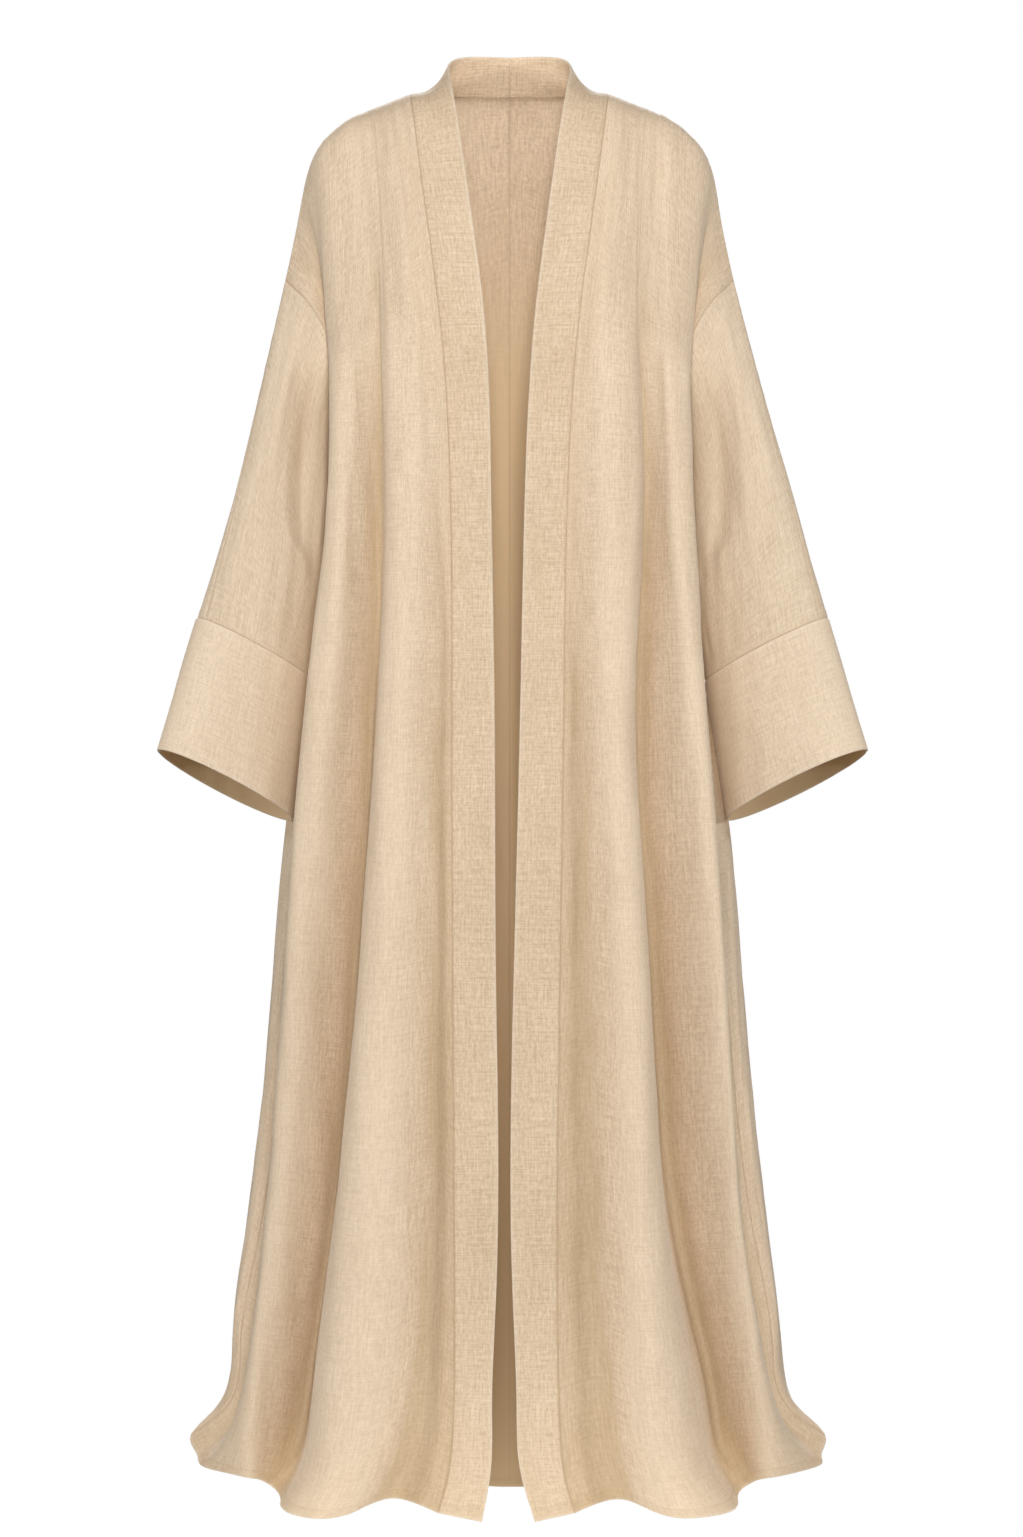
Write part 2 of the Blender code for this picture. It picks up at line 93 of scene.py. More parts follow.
# Levels down the body, with the distance of each from the shoulder seam along the cloth, in metres
LEVELS = (
    "shoulder", "yoke", "chest", "bust", "underarm", "waist", "thigh", "shin", "ankle", "flare", "hem",
)
DOWN_CLOTH = (0.0, 0.036, 0.140, 0.290, 0.460, 0.640, 0.920, 1.240, 1.350, 1.418, 1.462)
UNDERARM = LEVELS.index("underarm")
UNDERARM_Z = -420
LOWER_SHARE = {"waist": 0.18, "thigh": 0.46, "shin": 0.785, "ankle": 0.90, "flare": 0.965, "hem": 1.0}
UPPER_Z = {"chest": (-105, -214), "bust": (-250, -285), "underarm": (UNDERARM_Z, UNDERARM_Z)}
YOKE_DROP = (9, 7)
YOKE_TURN = 4

# The front's folds, from the band's seam to the side seam: how far out and how far forward each lies at each
# level, in mm, for the wearer's right-hand side
FRONT_OUT = {
    "seam":  (98.9, 97.5, 85.0, 66.4, 57.4, 56.4, 55.4, 53.5, 54.3, 60.0, 69.7),
    "dip":   (107, 106, 94, 77, 68, 68, 70, 74, 80, 91, 107),
    "swell": (119, 118, 109, 98, 94, 98, 108, 124, 136, 152, 169),
    "lip":   (132, 130, 123, 119, 117, 124, 142, 171, 183, 194, 212),
    "fall":  (143, 141, 134, 132, 131, 136, 152, 184, 200, 213, 230),
    "rise":  (150, 149, 145, 145, 147, 154, 172, 202, 218, 230, 243),
    "crest": (161, 160, 161, 164, 168, 181, 204, 230, 246, 255, 262),
    "edge":  (178, 177, 175, 175, 179, 196, 218, 243, 258, 272, 286),
    "tuck":  (212, 205, 185, 162, 145, 162, 200, 233, 252, 271, 312),
    "side":  (224, 217, 197, 166, 152, 168, 215, 251, 269, 281, 319),
}
FRONT_FORE = {
    "seam":  (0, 34, 83, 122, 136, 143, 152, 162, 165, 167, 172),
    "dip":   (0, 34, 84, 123, 136, 139, 144, 150, 151, 150, 146),
    "swell": (0, 34, 84, 127, 147, 158, 172, 186, 190, 192, 195),
    "lip":   (0, 33, 78, 118, 138, 150, 163, 175, 179, 181, 183),
    "fall":  (0, 32, 72, 100, 104, 98, 90, 84, 82, 88, 108),
    "rise":  (0, 31.5, 69, 100, 110, 111, 109, 104, 99, 96, 101),
    "crest": (0, 31, 66, 99, 116, 122, 126, 125, 121, 116, 108),
    "edge":  (0, 28, 58, 90, 105, 112, 118, 118, 114, 102, 78),
    "tuck":  (0, 13, 31, 46, 47, 39, 26, 14, 12, 17, 31),
    "side":  (0, 12, 38, 36, 0, 0, 0, -2, -4, -4, 0),
}
# The back's folds, from the side seam to the centre back seam, laid out in the same way
BACK_OUT = {
    "side":   (224, 219, 205, 174, 152, 166, 213, 251, 269, 282, 319),
    "rim":    (212, 208, 190, 158, 145, 192, 233, 263, 277, 283, 297),
    "turn":   (178, 177, 164, 148, 146, 164, 202, 237, 254, 264, 282),
    "hollow": (152, 151, 136, 126, 119, 123, 144, 170, 184, 193, 206),
    "roll":   (125, 124, 110, 97, 85, 84, 96, 115, 125, 134, 147),
    "neck":   (98.9, 97.5, 82, 67, 57, 55, 60, 68, 72, 76, 84),
    "nape":   (56, 54, 43, 34, 28, 27, 30, 34, 36, 38, 42),
    "centre": (0, 0, 0, 0, 0, 0, 0, 0, 0, 0, 0),
}
BACK_AFT = {
    "side":   (0, 14, 48, 46, 0, 0, 0, 2, 4, 4, 0),
    "rim":    (0, 18, 52, 75, 55, 58, 38, 20, 24, 38, 84),
    "turn":   (0, 28, 66, 95, 89, 98, 116, 134, 142, 152, 170),
    "hollow": (0, 31, 77, 107, 107, 106, 108, 114, 120, 128, 142),
    "roll":   (0, 33, 86, 115, 122, 132, 150, 174, 184, 194, 210),
    "neck":   (0, 36, 93, 117, 115, 115, 119, 128, 133, 140, 152),
    "nape":   (60, 72, 101, 116, 118, 125, 139, 158, 166, 174, 187),
    "centre": (75, 82, 103, 114, 113, 117, 127, 141, 148, 156, 168),
}
# Heights of the folds along the shoulder seam and the back neck, and at the hem, in mm
FRONT_TOP = {
    "seam": 0, "dip": -3, "swell": -8, "lip": -13, "fall": -17.5, "rise": -20.5, "crest": -26, "edge": -39,
    "tuck": -130, "side": -186,
}
FRONT_HEM = {
    "seam": -1400, "dip": -1389, "swell": -1402, "lip": -1400, "fall": -1384, "rise": -1376, "crest": -1371,
    "edge": -1369, "tuck": -1355, "side": -1342,
}
BACK_TOP = {
    "side": -186, "rim": -130, "turn": -39, "hollow": -21.5, "roll": -10.5, "neck": 0, "nape": 4,
    "centre": 4.6,
}
BACK_HEM = {
    "side": -1342, "rim": -1327, "turn": -1358, "hollow": -1384, "roll": -1402, "neck": -1400,
    "nape": -1409, "centre": -1409,
}
# How far the wearer's left-hand side differs from the mirror image, in mm outwards, from the underarm down
LEFT_DIFFERENCE = {
    "opening": (-3, -4, -9, -10, -10, -7, -2),
    "seam":  (-1, -3, -6, -7, -6, -6, -6),
    "dip":   (0, 0, 2, 4, 5, 2, -3),
    "swell": (4, -2, 3, 0, -2, -5, -8),
    "lip":   (5, -6, -9, -18, -14, -10, -5),
    "fall":  (6, -5, -7, -7, 2, 0, -2),
    "rise":  (3, -2, -3, -5, 0, -1, -1),
    "crest": (0, 3, 2, -2, -3, -2, 0),
    "edge":  (1, -4, -7, -9, -6, -3, 0),
    "tuck":  (0, 0, -3, -6, -6, -4, -1),
    "side":  (0, 0, -3, -6, -6, -5, -3),
    "rim":   (0, -2, -5, -6, -7, -5, -3),
    "turn":  (0, 3, 5, 6, 5, 4, 3),
    "hollow": (0, 3, 7, 9, 8, 6, 4),
    "roll":  (0, -3, -7, -8, -7, -5, -3),
}
# The band's folded edge, station by station: out, back and up in mm, or level with the seam
BAND_EDGE = {
    "hem":      (26.8, -178, -1408),
    "flare":    (19.0, -172, None),
    "ankle":    (17.0, -170, None),
    "shin":     (13.1, -168, None),
    "thigh":    (13.2, -157, None),
    "waist":    (14.8, -149, None),
    "underarm": (17.6, -142, None),
    "bust":     (22.8, -128, None),
    "chest":    (40.4, -96, None),
    "yoke":     (57.0, -42, 4),
    "shoulder": (60.5, -8, 22),
    "nape":     (47.0, 44, 42),
    "centre":   (0.0, 62, 43.5),
}
# How far the band's middle dips under a straight line from the seam to the edge, in mm
BAND_HOLLOW = {"yoke": 3.0, "shoulder": 7.0, "nape": 4.0, "centre": 0.5}
# The sleeve: share of its length, then in mm the overarm and the underarm line's out and up, its half depth
# to the front and to the back, how far its front is raised and its back lowered, and how much further out
# the wearer's left overarm line is
SLEEVE = {
    "armhole": (0.00, (224, -186), (152, -420), 36, 38, 0, 0),
    "upper":   (0.30, (246, -285), (171, -460), 49, 54, 3, 3),
    "lower":   (0.60, (271, -390), (183, -515), 51, 56, 6, 8),
    "wrist":   (1.00, (311, -525), (197, -587), 50, 53, 8, 6.5),
    "edge":    (1.38, (350, -657), (218, -724), 49, 51, 11, 6),
}


def spline_weights(knots: Sequence[float], at: Sequence[float]) -> Points:
    """The weights of a natural cubic spline.

    Args:
        knots: where the spline's values are given.
        at: where they are wanted.

    Returns:
        A matrix that turns values at the knots into values at the wanted places.
    """
    knots, at = np.asarray(knots, float), np.asarray(at, float)
    count, step = len(knots), np.diff(knots)
    bend, change = np.eye(count), np.zeros((count, count))
    for i in range(1, count - 1):
        bend[i, i - 1 : i + 2] = step[i - 1], 2 * (step[i - 1] + step[i]), step[i]
        change[i, i - 1 : i + 2] = 6 / step[i - 1], -6 / step[i - 1] - 6 / step[i], 6 / step[i]
    second = np.linalg.solve(bend, change)
    span = np.clip(np.searchsorted(knots, at, side="right") - 1, 0, count - 2)
    width = step[span]
    right = (at - knots[span]) / width
    left = 1 - right
    rows = np.arange(len(at))
    weights = np.zeros((len(at), count))
    weights[rows, span] = left
    weights[rows, span + 1] += right
    weights += ((left**3 - left) * width**2 / 6)[:, None] * second[span]
    weights += ((right**3 - right) * width**2 / 6)[:, None] * second[span + 1]
    return weights


def unit(vectors: Points) -> Points:
    """The vectors, each made one long."""
    return vectors / np.maximum(np.linalg.norm(vectors, axis=-1, keepdims=True), 1e-12)


def smoothstep(low: float, high: float, values: Points) -> Points:
    """0 below low, 1 above high, and a smooth rise between them."""
    t = np.clip((np.asarray(values, float) - low) / (high - low), 0, 1)
    return t * t * (3 - 2 * t)


def spaced(knots: Sequence[float], steps: Sequence[int]) -> Points:
    """Places between the knots, with that many equal steps in each interval."""
    places = [np.linspace(a, b, n, endpoint=False) for a, b, n in zip(knots[:-1], knots[1:], steps)]
    return np.append(np.concatenate(places), knots[-1])


def with_fine_edges(places: Points, stops: Iterable[float], offsets: Sequence[float]) -> Points:
    """The places with more of them close to some stops, where a seam or an edge needs a fine profile.

    Args:
        places: rising places along the cloth, in metres.
        stops: the places of the seams and edges.
        offsets: how far from a stop the added places lie, in metres.

    Returns:
        All places, rising, without old ones that crowd an added one.
    """
    added = [stop + side * offset for stop in stops for side in (-1, 1) for offset in offsets]
    added = np.array([a for a in added if places[0] < a < places[-1]])
    stops = np.array(list(stops))
    kept = [
        p for p in places
        if np.abs(stops - p).min() < 1e-9 or not len(added) or np.abs(added - p).min() > offsets[0]
    ]
    return np.unique(np.round(np.concatenate([kept, added]), 9))


@dataclass(frozen=True)
class PanelFolds:
    """The folds of a front or of half the back, as their tables give them."""

    out: dict[str, tuple[float, ...]]
    depth: dict[str, tuple[float, ...]]
    top: dict[str, float]
    hem: dict[str, float]
    facing: int

    def net(self, side: Side) -> Points:
        """The folds' places.

        Args:
            side: the side of the cloak.

        Returns:
            Levels by folds by X, Y and Z in metres, with X measured outwards.
        """
        net = np.zeros((len(LEVELS), len(self.out), 3))
        across = np.linspace(0, 1, len(self.out))
        if self.facing > 0:
            across = across[::-1]
        for j, fold in enumerate(self.out):
            net[:, j, 0] = np.array(self.out[fold]) + differences(fold, side)
            net[:, j, 1] = self.facing * np.array(self.depth[fold])
            for i, level in enumerate(LEVELS):
                if level == "shoulder":
                    height = self.top[fold]
                elif level == "yoke":
                    slope = across[j] ** YOKE_TURN
                    height = self.top[fold] - YOKE_DROP[0] * (1 - slope) - YOKE_DROP[1] * slope
                elif level in UPPER_Z:
                    by_neck, at_armhole = UPPER_Z[level]
                    height = by_neck + (at_armhole - by_neck) * across[j]
                else:
                    height = UNDERARM_Z + (self.hem[fold] - UNDERARM_Z) * LOWER_SHARE[level]
                net[i, j, 2] = height
        return net * MM


def differences(fold: str, side: Side) -> Points:
    """The fold's differences from the mirror image at each level, in mm."""
    found = np.zeros(len(LEVELS))
    if side is Side.LEFT:
        values = LEFT_DIFFERENCE.get(fold, ())
        found[UNDERARM : UNDERARM + len(values)] = values
    return found


def fold_knots(net: Points) -> Points:
    """How far round the body each fold lies, from the lower sections' mean lengths between folds."""
    gaps = np.linalg.norm(np.diff(net[UNDERARM:], axis=1), axis=2).mean(axis=0)
    return np.concatenate([[0], np.cumsum(gaps)])


FRONT_FOLDS = PanelFolds(FRONT_OUT, FRONT_FORE, FRONT_TOP, FRONT_HEM, -1)
BACK_FOLDS = PanelFolds(BACK_OUT, BACK_AFT, BACK_TOP, BACK_HEM, 1)


def is_turned(side: Side, piece: str) -> bool:
    """Whether a piece's columns run the other way, so that it faces outwards."""
    return (side is Side.RIGHT) != (piece in ("sleeve_front", "sleeve_back", "cuff"))


@dataclass
class WornForm:
    """The middle surfaces of one side of the cloak, close enough in spacing for smooth cloth.

    The front and the part of the back between the side seam and the neck have as many columns, so that the
    shoulder seam's points are the same on both.
    """

    side: Side
    front_steps: tuple[int, ...] = (6, 9, 9, 9, 6, 6, 6, 9, 6)
    back_steps: tuple[int, ...] = (12, 12, 15, 15, 12, 9, 9)
    level_steps: tuple[int, ...] = (6, 17, 25, 28, 30, 46, 52, 18, 11, 7)
    edge_offsets: tuple[float, ...] = (0.3 * MM, 0.8 * MM, 1.6 * MM)
    hem_offsets: tuple[float, ...] = (0.3, 0.8, 1.6, 3, 5, 7, 8.6, 9.6, 10.5, 11.4, 12.4, 14.4)
    side_blend: float = 0.1
    side_reach: float = 0.085
    band_width: float = 0.043
    band_steps: int = 8
    sleeve_steps: int = 60
    cuff_steps: int = 24
    ring_offsets: tuple[float, ...] = (0.0009, 0.0024, 0.0048)
    sleeve_forward: float = 6 * MM
    armhole_blend: float = 0.5
    even_from: float = 0.6
    overarm_turn: float = math.radians(32)
    sleeve_flatness: float = 0.3
    fold_depth: float = 13.7 * MM
    fold_at: tuple[float, float] = (0.27, 0.90)
    fold_width: float = 0.10
    fold_ends: float = 0.55
    fold_taper: float = 0.8

    def __post_init__(self) -> None:
        """Works out the rows down the cloth and the columns round it."""
        rows = spaced(DOWN_CLOTH, self.level_steps)
        rows = with_fine_edges(rows, (0.0, DOWN_CLOTH[UNDERARM]), self.edge_offsets)
        self.rows = with_fine_edges(rows, (DOWN_CLOTH[-1],), [offset * MM for offset in self.hem_offsets])
        self.underarm_row = int(np.searchsorted(self.rows, DOWN_CLOTH[UNDERARM] - 1e-6))

    def panel(self, folds: PanelFolds, steps: tuple[int, ...]) -> tuple[Points, Points, Points]:
        """The control net of a panel, its knots and its columns."""
        net = folds.net(self.side)
        knots = fold_knots(net)
        neck = len(steps) if folds.facing < 0 else list(BACK_OUT).index("neck")
        columns = with_fine_edges(spaced(knots, steps), (0.0, knots[neck]), self.edge_offsets)
        if folds.facing > 0:
            columns = columns[columns <= knots[neck] + 1e-9]
            rest = spaced(knots[neck:], steps[neck:])[1:]
            columns = np.concatenate([columns, with_fine_edges(rest, (knots[-1],), self.edge_offsets)])
        return net, knots, columns

    def front(self) -> Points:
        """The front panel, with its rows down the body and its columns from the band to the side."""
        net, knots, columns = self.panel(FRONT_FOLDS, self.front_steps)
        plain = self.sheet(net, knots, columns)
        past = np.concatenate([net, BACK_FOLDS.net(self.side)[:, 1:3]], axis=1)
        return self.from_arm_down(plain, self.sheet(past, fold_knots(past), columns))

    def back(self) -> Points:
        """One half of the back, from the side seam to the centre back seam."""
        net, knots, columns = self.panel(BACK_FOLDS, self.back_steps)
        beyond = BACK_FOLDS.net(self.side.other)[:, -2::-1]
        beyond[:, :, 0] *= -1
        whole = np.concatenate([net, beyond], axis=1)
        plain = self.sheet(whole, fold_knots(whole), columns)
        past = np.concatenate([FRONT_FOLDS.net(self.side)[:, -3:-1], whole], axis=1)
        past_knots = fold_knots(past)
        self.neck_column, self.nape_column = (
            int(np.searchsorted(columns, knots[list(BACK_OUT).index(fold)] - 1e-6))
            for fold in ("neck", "nape")
        )
        return self.from_arm_down(plain, self.sheet(past, past_knots, columns + past_knots[2]))

    def sheet(self, net: Points, knots: Points, columns: Points) -> Points:
        """The smooth surface through a control net, at the cloth's rows and those columns."""
        across, down = spline_weights(knots, columns), spline_weights(DOWN_CLOTH, self.rows)
        return np.einsum("ai,ijk,bj->abk", down, net, across)

    def from_arm_down(self, above: Points, below: Points) -> Points:
        """One surface that turns into another below the underarm, where the panels run together."""
        full = DOWN_CLOTH[UNDERARM + 1] + self.side_blend
        share = smoothstep(DOWN_CLOTH[UNDERARM], full, self.rows)[:, None, None]
        return above * (1 - share) + below * share

    def join(self, front: Points, back: Points) -> None:
        """Brings the two panels together along the shoulder seam and the side seam.

        Args:
            front: the front panel, which is changed.
            back: the back panel, which is changed.
        """
        seam = front[0, ::-1]
        change = seam - back[0, : len(seam)]
        fade = 1 - np.clip(self.rows / DOWN_CLOTH[LEVELS.index("chest")], 0, 1)
        back[:, : len(seam)] += change * fade[:, None, None]
        change = (back[self.underarm_row :, 0] - front[self.underarm_row :, -1]) / 2
        for grid, sign in ((front[:, ::-1], 1), (back, -1)):
            away = np.linalg.norm(np.diff(grid[self.underarm_row :], axis=1), axis=2).mean(axis=0)
            away = np.concatenate([[0], np.cumsum(away)])
            fade = 1 - np.clip(away / self.side_reach, 0, 1)
            grid[self.underarm_row :] += sign * change[:, None] * fade[:, None]

    def band(self, front: Points, back: Points) -> Points:
        """The band.

        Args:
            front: the front panel.
            back: the back panel.

        Returns:
            Rows from the hem up to the shoulder and on to the centre back, of columns from the seam to the
            folded edge.
        """
        seam = np.concatenate([front[::-1, 0], back[0, self.neck_column + 1 :]])
        along = np.concatenate([[0], np.cumsum(np.linalg.norm(np.diff(seam, axis=0), axis=1))])
        last = len(self.rows) - 1
        rows = {
            level: last - int(np.searchsorted(self.rows, down - 1e-6))
            for level, down in zip(LEVELS, DOWN_CLOTH)
        }
        rows["nape"] = last + self.nape_column - self.neck_column
        rows["centre"] = len(seam) - 1
        opening = dict(zip(LEVELS, differences("opening", self.side)))
        edge = []
        for station, (out, back_by, up) in BAND_EDGE.items():
            height = seam[rows[station], 2] if up is None else up * MM
            edge.append(((out + opening.get(station, 0)) * MM, back_by * MM, height))
        weights = spline_weights([along[rows[station]] for station in BAND_EDGE], along)
        edge = weights @ np.array(edge)
        middle = (seam + edge) / 2
        middle[:, 2] -= weights @ np.array([BAND_HOLLOW.get(station, 0) for station in BAND_EDGE]) * MM
        places = np.linspace(0, self.band_width, self.band_steps + 1)
        columns = with_fine_edges(places, (0.0, self.band_width), self.edge_offsets)
        across = spline_weights((0, 0.5, 1), columns / self.band_width)
        return np.einsum("bj,ajk->abk", across, np.stack([seam, middle, edge], axis=1))

    def rings(self, armhole: Points, stations: Points) -> Points:
        """Rings of the sleeve.

        Args:
            armhole: the points of the armhole, from the shoulder down the front and up the back.
            stations: the rings' places, as shares of the sleeve's length.

        Returns:
            The rings, each with a point for each of the armhole's.
        """
        knots = [row[0] for row in SLEEVE.values()]
        table = np.array([(*over, *under, *rest) for _, over, under, *rest in SLEEVE.values()]) * MM
        height = armhole[:, 2]
        drop = np.clip((height[0] - height) / (height[0] - height.min()), 0, 1)
        by_height = np.arccos(1 - 2 * drop) / (2 * np.pi)
        half = len(armhole) // 2
        by_height[half + 1 :] = 1 - by_height[half + 1 :]
        evenly = self.rows[: half + 1] / self.rows[half] / 2
        evenly = np.concatenate([evenly, 1 - evenly[-2::-1]])
        rings = []
        for share, values in zip(stations, spline_weights(knots, stations) @ table):
            over_x, over_z, under_x, under_z, fore, aft, raised, left_out = values
            over_x += left_out if self.side is Side.LEFT else 0
            turn = by_height + (evenly - by_height) * min(share / self.even_from, 1.0)
            angle = 2 * np.pi * turn
            seam_turn = self.overarm_turn * min(share, 1.0)
            angle += seam_turn * np.where(turn < 0.5, np.cos(angle / 2), 2 * turn - 1)
            cosine, sine = np.cos(angle), np.sin(angle)
            x = (over_x + under_x) / 2 + cosine * (over_x - under_x) / 2
            z = (over_z + under_z) / 2 + cosine * (over_z - under_z) / 2 + raised * sine
            roundness = 1 - self.sleeve_flatness * min(share / self.even_from, 1.0)
            fullness = np.sign(sine) * np.abs(sine) ** roundness
            y = np.where(sine > 0, -fore, -aft) * fullness - self.sleeve_forward * share / knots[-1]
            fold_at = self.fold_at[0] + (self.fold_at[1] - self.fold_at[0]) * share
            fold = np.exp(-(((angle / np.pi - fold_at) / self.fold_width) ** 2))
            fade = max(math.sin(math.pi * min(share / self.fold_ends, 1.0)), 0)
            y += self.fold_depth * fold * fade**self.fold_taper
            fade = math.sin(math.pi / 2 * min(share / self.armhole_blend, 1.0))
            rings.append(armhole * (1 - fade) + np.stack([x, y, z], axis=1) * fade)
        return np.array(rings)

    def surfaces(self) -> dict[str, Points]:
        """Every piece's middle surface on this side, by name, laid out so that it faces outwards."""
        front, back = self.front(), self.back()
        self.join(front, back)
        band = self.band(front, back)
        armhole = np.concatenate([front[: self.underarm_row + 1, -1], back[self.underarm_row - 1 :: -1, 0]])
        sleeve, cuff = (
            self.rings(
                armhole, with_fine_edges(np.linspace(*ends, steps + 1), ends, self.ring_offsets)
            )
            for ends, steps in (((0, 1), self.sleeve_steps), ((1, SLEEVE["edge"][0]), self.cuff_steps))
        )
        half = len(armhole) // 2
        found = {
            "front": front, "back": back, "band": band,
            "sleeve_front": sleeve[:, : half + 1], "sleeve_back": sleeve[:, half:], "cuff": cuff,
        }
        placed = {}
        for piece, grid in found.items():
            grid = grid * np.array([self.side.sign, 1, 1])
            turned = is_turned(self.side, piece)
            placed[piece] = grid[:, ::-1] if turned else grid
        return placed


@dataclass(frozen=True)
class Crease:
    """One soft crease in a cloth piece, in the cloth's own coordinates, in metres."""

    bow = 0.12
    bow_turn = 2.6

    across: float
    down: float
    length: float
    width: float
    depth: float
    lean: float

    def relief(self, across: Points, down: Points) -> Points:
        """How far the crease moves each point of the cloth outwards.

        Args:
            across: each point's place across the cloth.
            down: each point's place down the cloth.

        Returns:
            The distance outwards, which is negative in a trough.
        """
        along_x, along_y = math.sin(self.lean), math.cos(self.lean)
        x, y = across - self.across, down - self.down
        along, aside = x * along_x + y * along_y, x * along_y - y * along_x
        aside = aside + self.bow * self.length * np.sin(along / self.length * self.bow_turn)
        taper = np.clip(1 - (along / (self.length / 2)) ** 2, 0, 1) ** 1.5
        return self.depth * taper * np.exp(-((aside / self.width) ** 2))


@dataclass(frozen=True)
class ClothCut:
    """How one kind of cloth piece is made up: its thickness, its edges, its crumple and its flat size."""

    thick: float
    edges: tuple[Finish, Finish, Finish, Finish]
    flat: tuple[float, float]
    area: float
    creases: int
    ripple: float = 0.5 * MM
    proud: float = 0.0
    closed_round: bool = False
    # how strongly the cloth beside the band's seam is darkened as painted shadow of the band
    band_shadow: float = 0.0


class ClothPiece:
    """One cloth piece as a closed wall round its middle surface, with the profile of its seams and edges."""

    groove_depth = 0.55 * MM
    groove_width = 1.1 * MM
    seam_roll = 0.35 * MM
    seam_roll_at = 4.5 * MM
    seam_gap = 0.05 * MM
    hem_depth = 11.0 * MM
    hem_extra = 0.35 * MM
    hem_trough = 0.35 * MM
    least_wall = 0.1 * MM
    least_rounding = 0.12
    pucker_lengths = (9 * MM, 31 * MM)
    pucker_waves = 6
    crease_length = (0.05, 0.17)
    crease_slimness = (0.05, 0.11)
    crease_least_width = 2.5 * MM
    crease_depth = (0.25, 0.9)
    trough_share = 0.6
    crease_lean = 0.35
    ripples = 10
    ripples_across = (14, 46)
    ripples_down = (1, 7)
    hold_back = 22 * MM
    fold_reaches = ((12 * MM, 5 * MM), (30 * MM, 22 * MM))
    seam_line = 0.8 * MM
    # width of the painted highlight along folded edges and the hem
    edge_highlight_width = 1.1 * MM
    inner_seam = 0.5
    # the heights over which the painted shade on the inner face sets in
    neck_drop = (0.03, 0.38)
    deep_drop = (0.75, 1.4)
    low_shade_reach = (0.01, 0.15)
    turned_up_share = 0.35
    # where down the cloth and how wide the painted shadow beside the band falls
    band_shadow_drop = (0.2, 0.42)
    band_shadow_reach = 13 * MM
    band_column = 0
    # painted shade between sleeve and body, from 0 to 1 at each point
    body_gap_shade: Points | float = 0.0

    def __init__(self, name: str, grid: Points, cut: ClothCut, seed: int) -> None:
        """Takes the piece's middle surface and works out its cloth coordinates.

        Args:
            name: the piece's name, which is its solid's.
            grid: the middle surface, rows by columns, facing outwards.
            cut: how it is made up. Its edges are those of the first and last row, then of the columns.
            seed: the seed of everything uneven in the piece.
        """
        self.name, self.cut, self.seed = name, cut, seed
        self.down = self.distances(grid)
        self.across = self.distances(grid.transpose(1, 0, 2))
        self.grid = grid
        self.grid = grid + self.crumple()[:, :, None] * unit(self.surface_normals(grid))

    @staticmethod
    def distances(grid: Points) -> Points:
        """The mean distance of each row from the first, along the cloth."""
        return np.concatenate([[0], np.cumsum(np.linalg.norm(np.diff(grid, axis=0), axis=2).mean(axis=1))])

    @staticmethod
    def surface_normals(grid: Points) -> Points:
        """The sum of the normals of the quads round each point of a grid."""
        quad = np.cross(grid[1:, 1:] - grid[:-1, :-1], grid[:-1, 1:] - grid[1:, :-1])
        total = np.zeros_like(grid)
        for rows in (slice(None, -1), slice(1, None)):
            for columns in (slice(None, -1), slice(1, None)):
                total[rows, columns] += quad
        return total

    def from_edges(self, *finishes: Finish) -> Points:
        """Each point's distance from the nearest edge with one of those finishes, in metres."""
        down, across = self.down[:, None], self.across[None, :]
        away = (down - down[0], down[-1] - down, across - across[:, :1], across[:, -1:] - across)
        found = np.full((len(self.down), len(self.across)), 1.0)
        for finish, distance in zip(self.cut.edges, away):
            if finish in finishes:
                found = np.minimum(found, distance)
        return found

    def crumple(self) -> Points:
        """The cloth's soft creases and ripples, which die out at the seams, in metres outwards."""
        random = np.random.default_rng(self.seed)
        down, across = np.meshgrid(self.down, self.across, indexing="ij")
        relief = np.zeros_like(down)
        chances = (self.trough_share, 1 - self.trough_share)
        for _ in range(self.cut.creases):
            length = random.uniform(*self.crease_length)
            relief += Crease(
                across=random.uniform(0, self.across[-1]),
                down=random.uniform(0.02, self.down[-1]),
                length=length,
                width=random.uniform(*self.crease_slimness) * length + self.crease_least_width,
                depth=random.choice((-1, 1), p=chances) * random.uniform(*self.crease_depth) * MM,
                lean=random.normal(0, self.crease_lean),
            ).relief(across, down)
        for _ in range(self.ripples):
            wave_x, wave_y = random.uniform(*self.ripples_across), random.uniform(*self.ripples_down)
            waves = across * wave_x * random.choice((-1, 1)) + down * wave_y
            relief += self.cut.ripple / 3 * np.sin(2 * np.pi * waves + random.uniform(0, ABOUT_A_TURN))
        relief *= smoothstep(0, self.hold_back, self.from_edges(Finish.SEAM))
        if self.cut.closed_round:
            for away in (across, self.across[-1] - across):
                relief *= smoothstep(0, self.hold_back, away)
        return relief

    def fold_depth(self) -> Points:
        """How deep in a fold each point lies, from -1 on a sharp ridge to 1 in a deep valley, with painted
        shadow added beside the band's seam.
        """
        normals = unit(self.surface_normals(self.grid))
        depth = np.zeros(self.grid.shape[:2])
        for reach, full in self.fold_reaches:
            apart = (self.across[:, None] - self.across[None, :]) / reach
            weights = np.exp(-(apart**2) / 2) * np.gradient(self.across)[None, :]
            weights /= weights.sum(axis=1, keepdims=True)
            level = np.einsum("bj,ajk->abk", weights, self.grid)
            depth += np.einsum("abk,abk->ab", level - self.grid, normals) / full
        inward = smoothstep(0, self.hold_back, self.from_edges(Finish.SEAM))
        depth = np.clip(depth, -1, 1) * (0.25 + 0.75 * inward)
        # painted shadow: the cloth beside the band's seam counts as lying in a valley, so the finish darkens
        # it where the band's shadow falls
        from_band = np.minimum(np.abs(self.across - self.across[self.band_column]), 1.0)[None, :]
        band_shadow = self.cut.band_shadow * np.exp(-from_band / self.band_shadow_reach)
        depth += band_shadow * smoothstep(*self.band_shadow_drop, self.down)[:, None]
        return np.clip(depth, -1, 1)

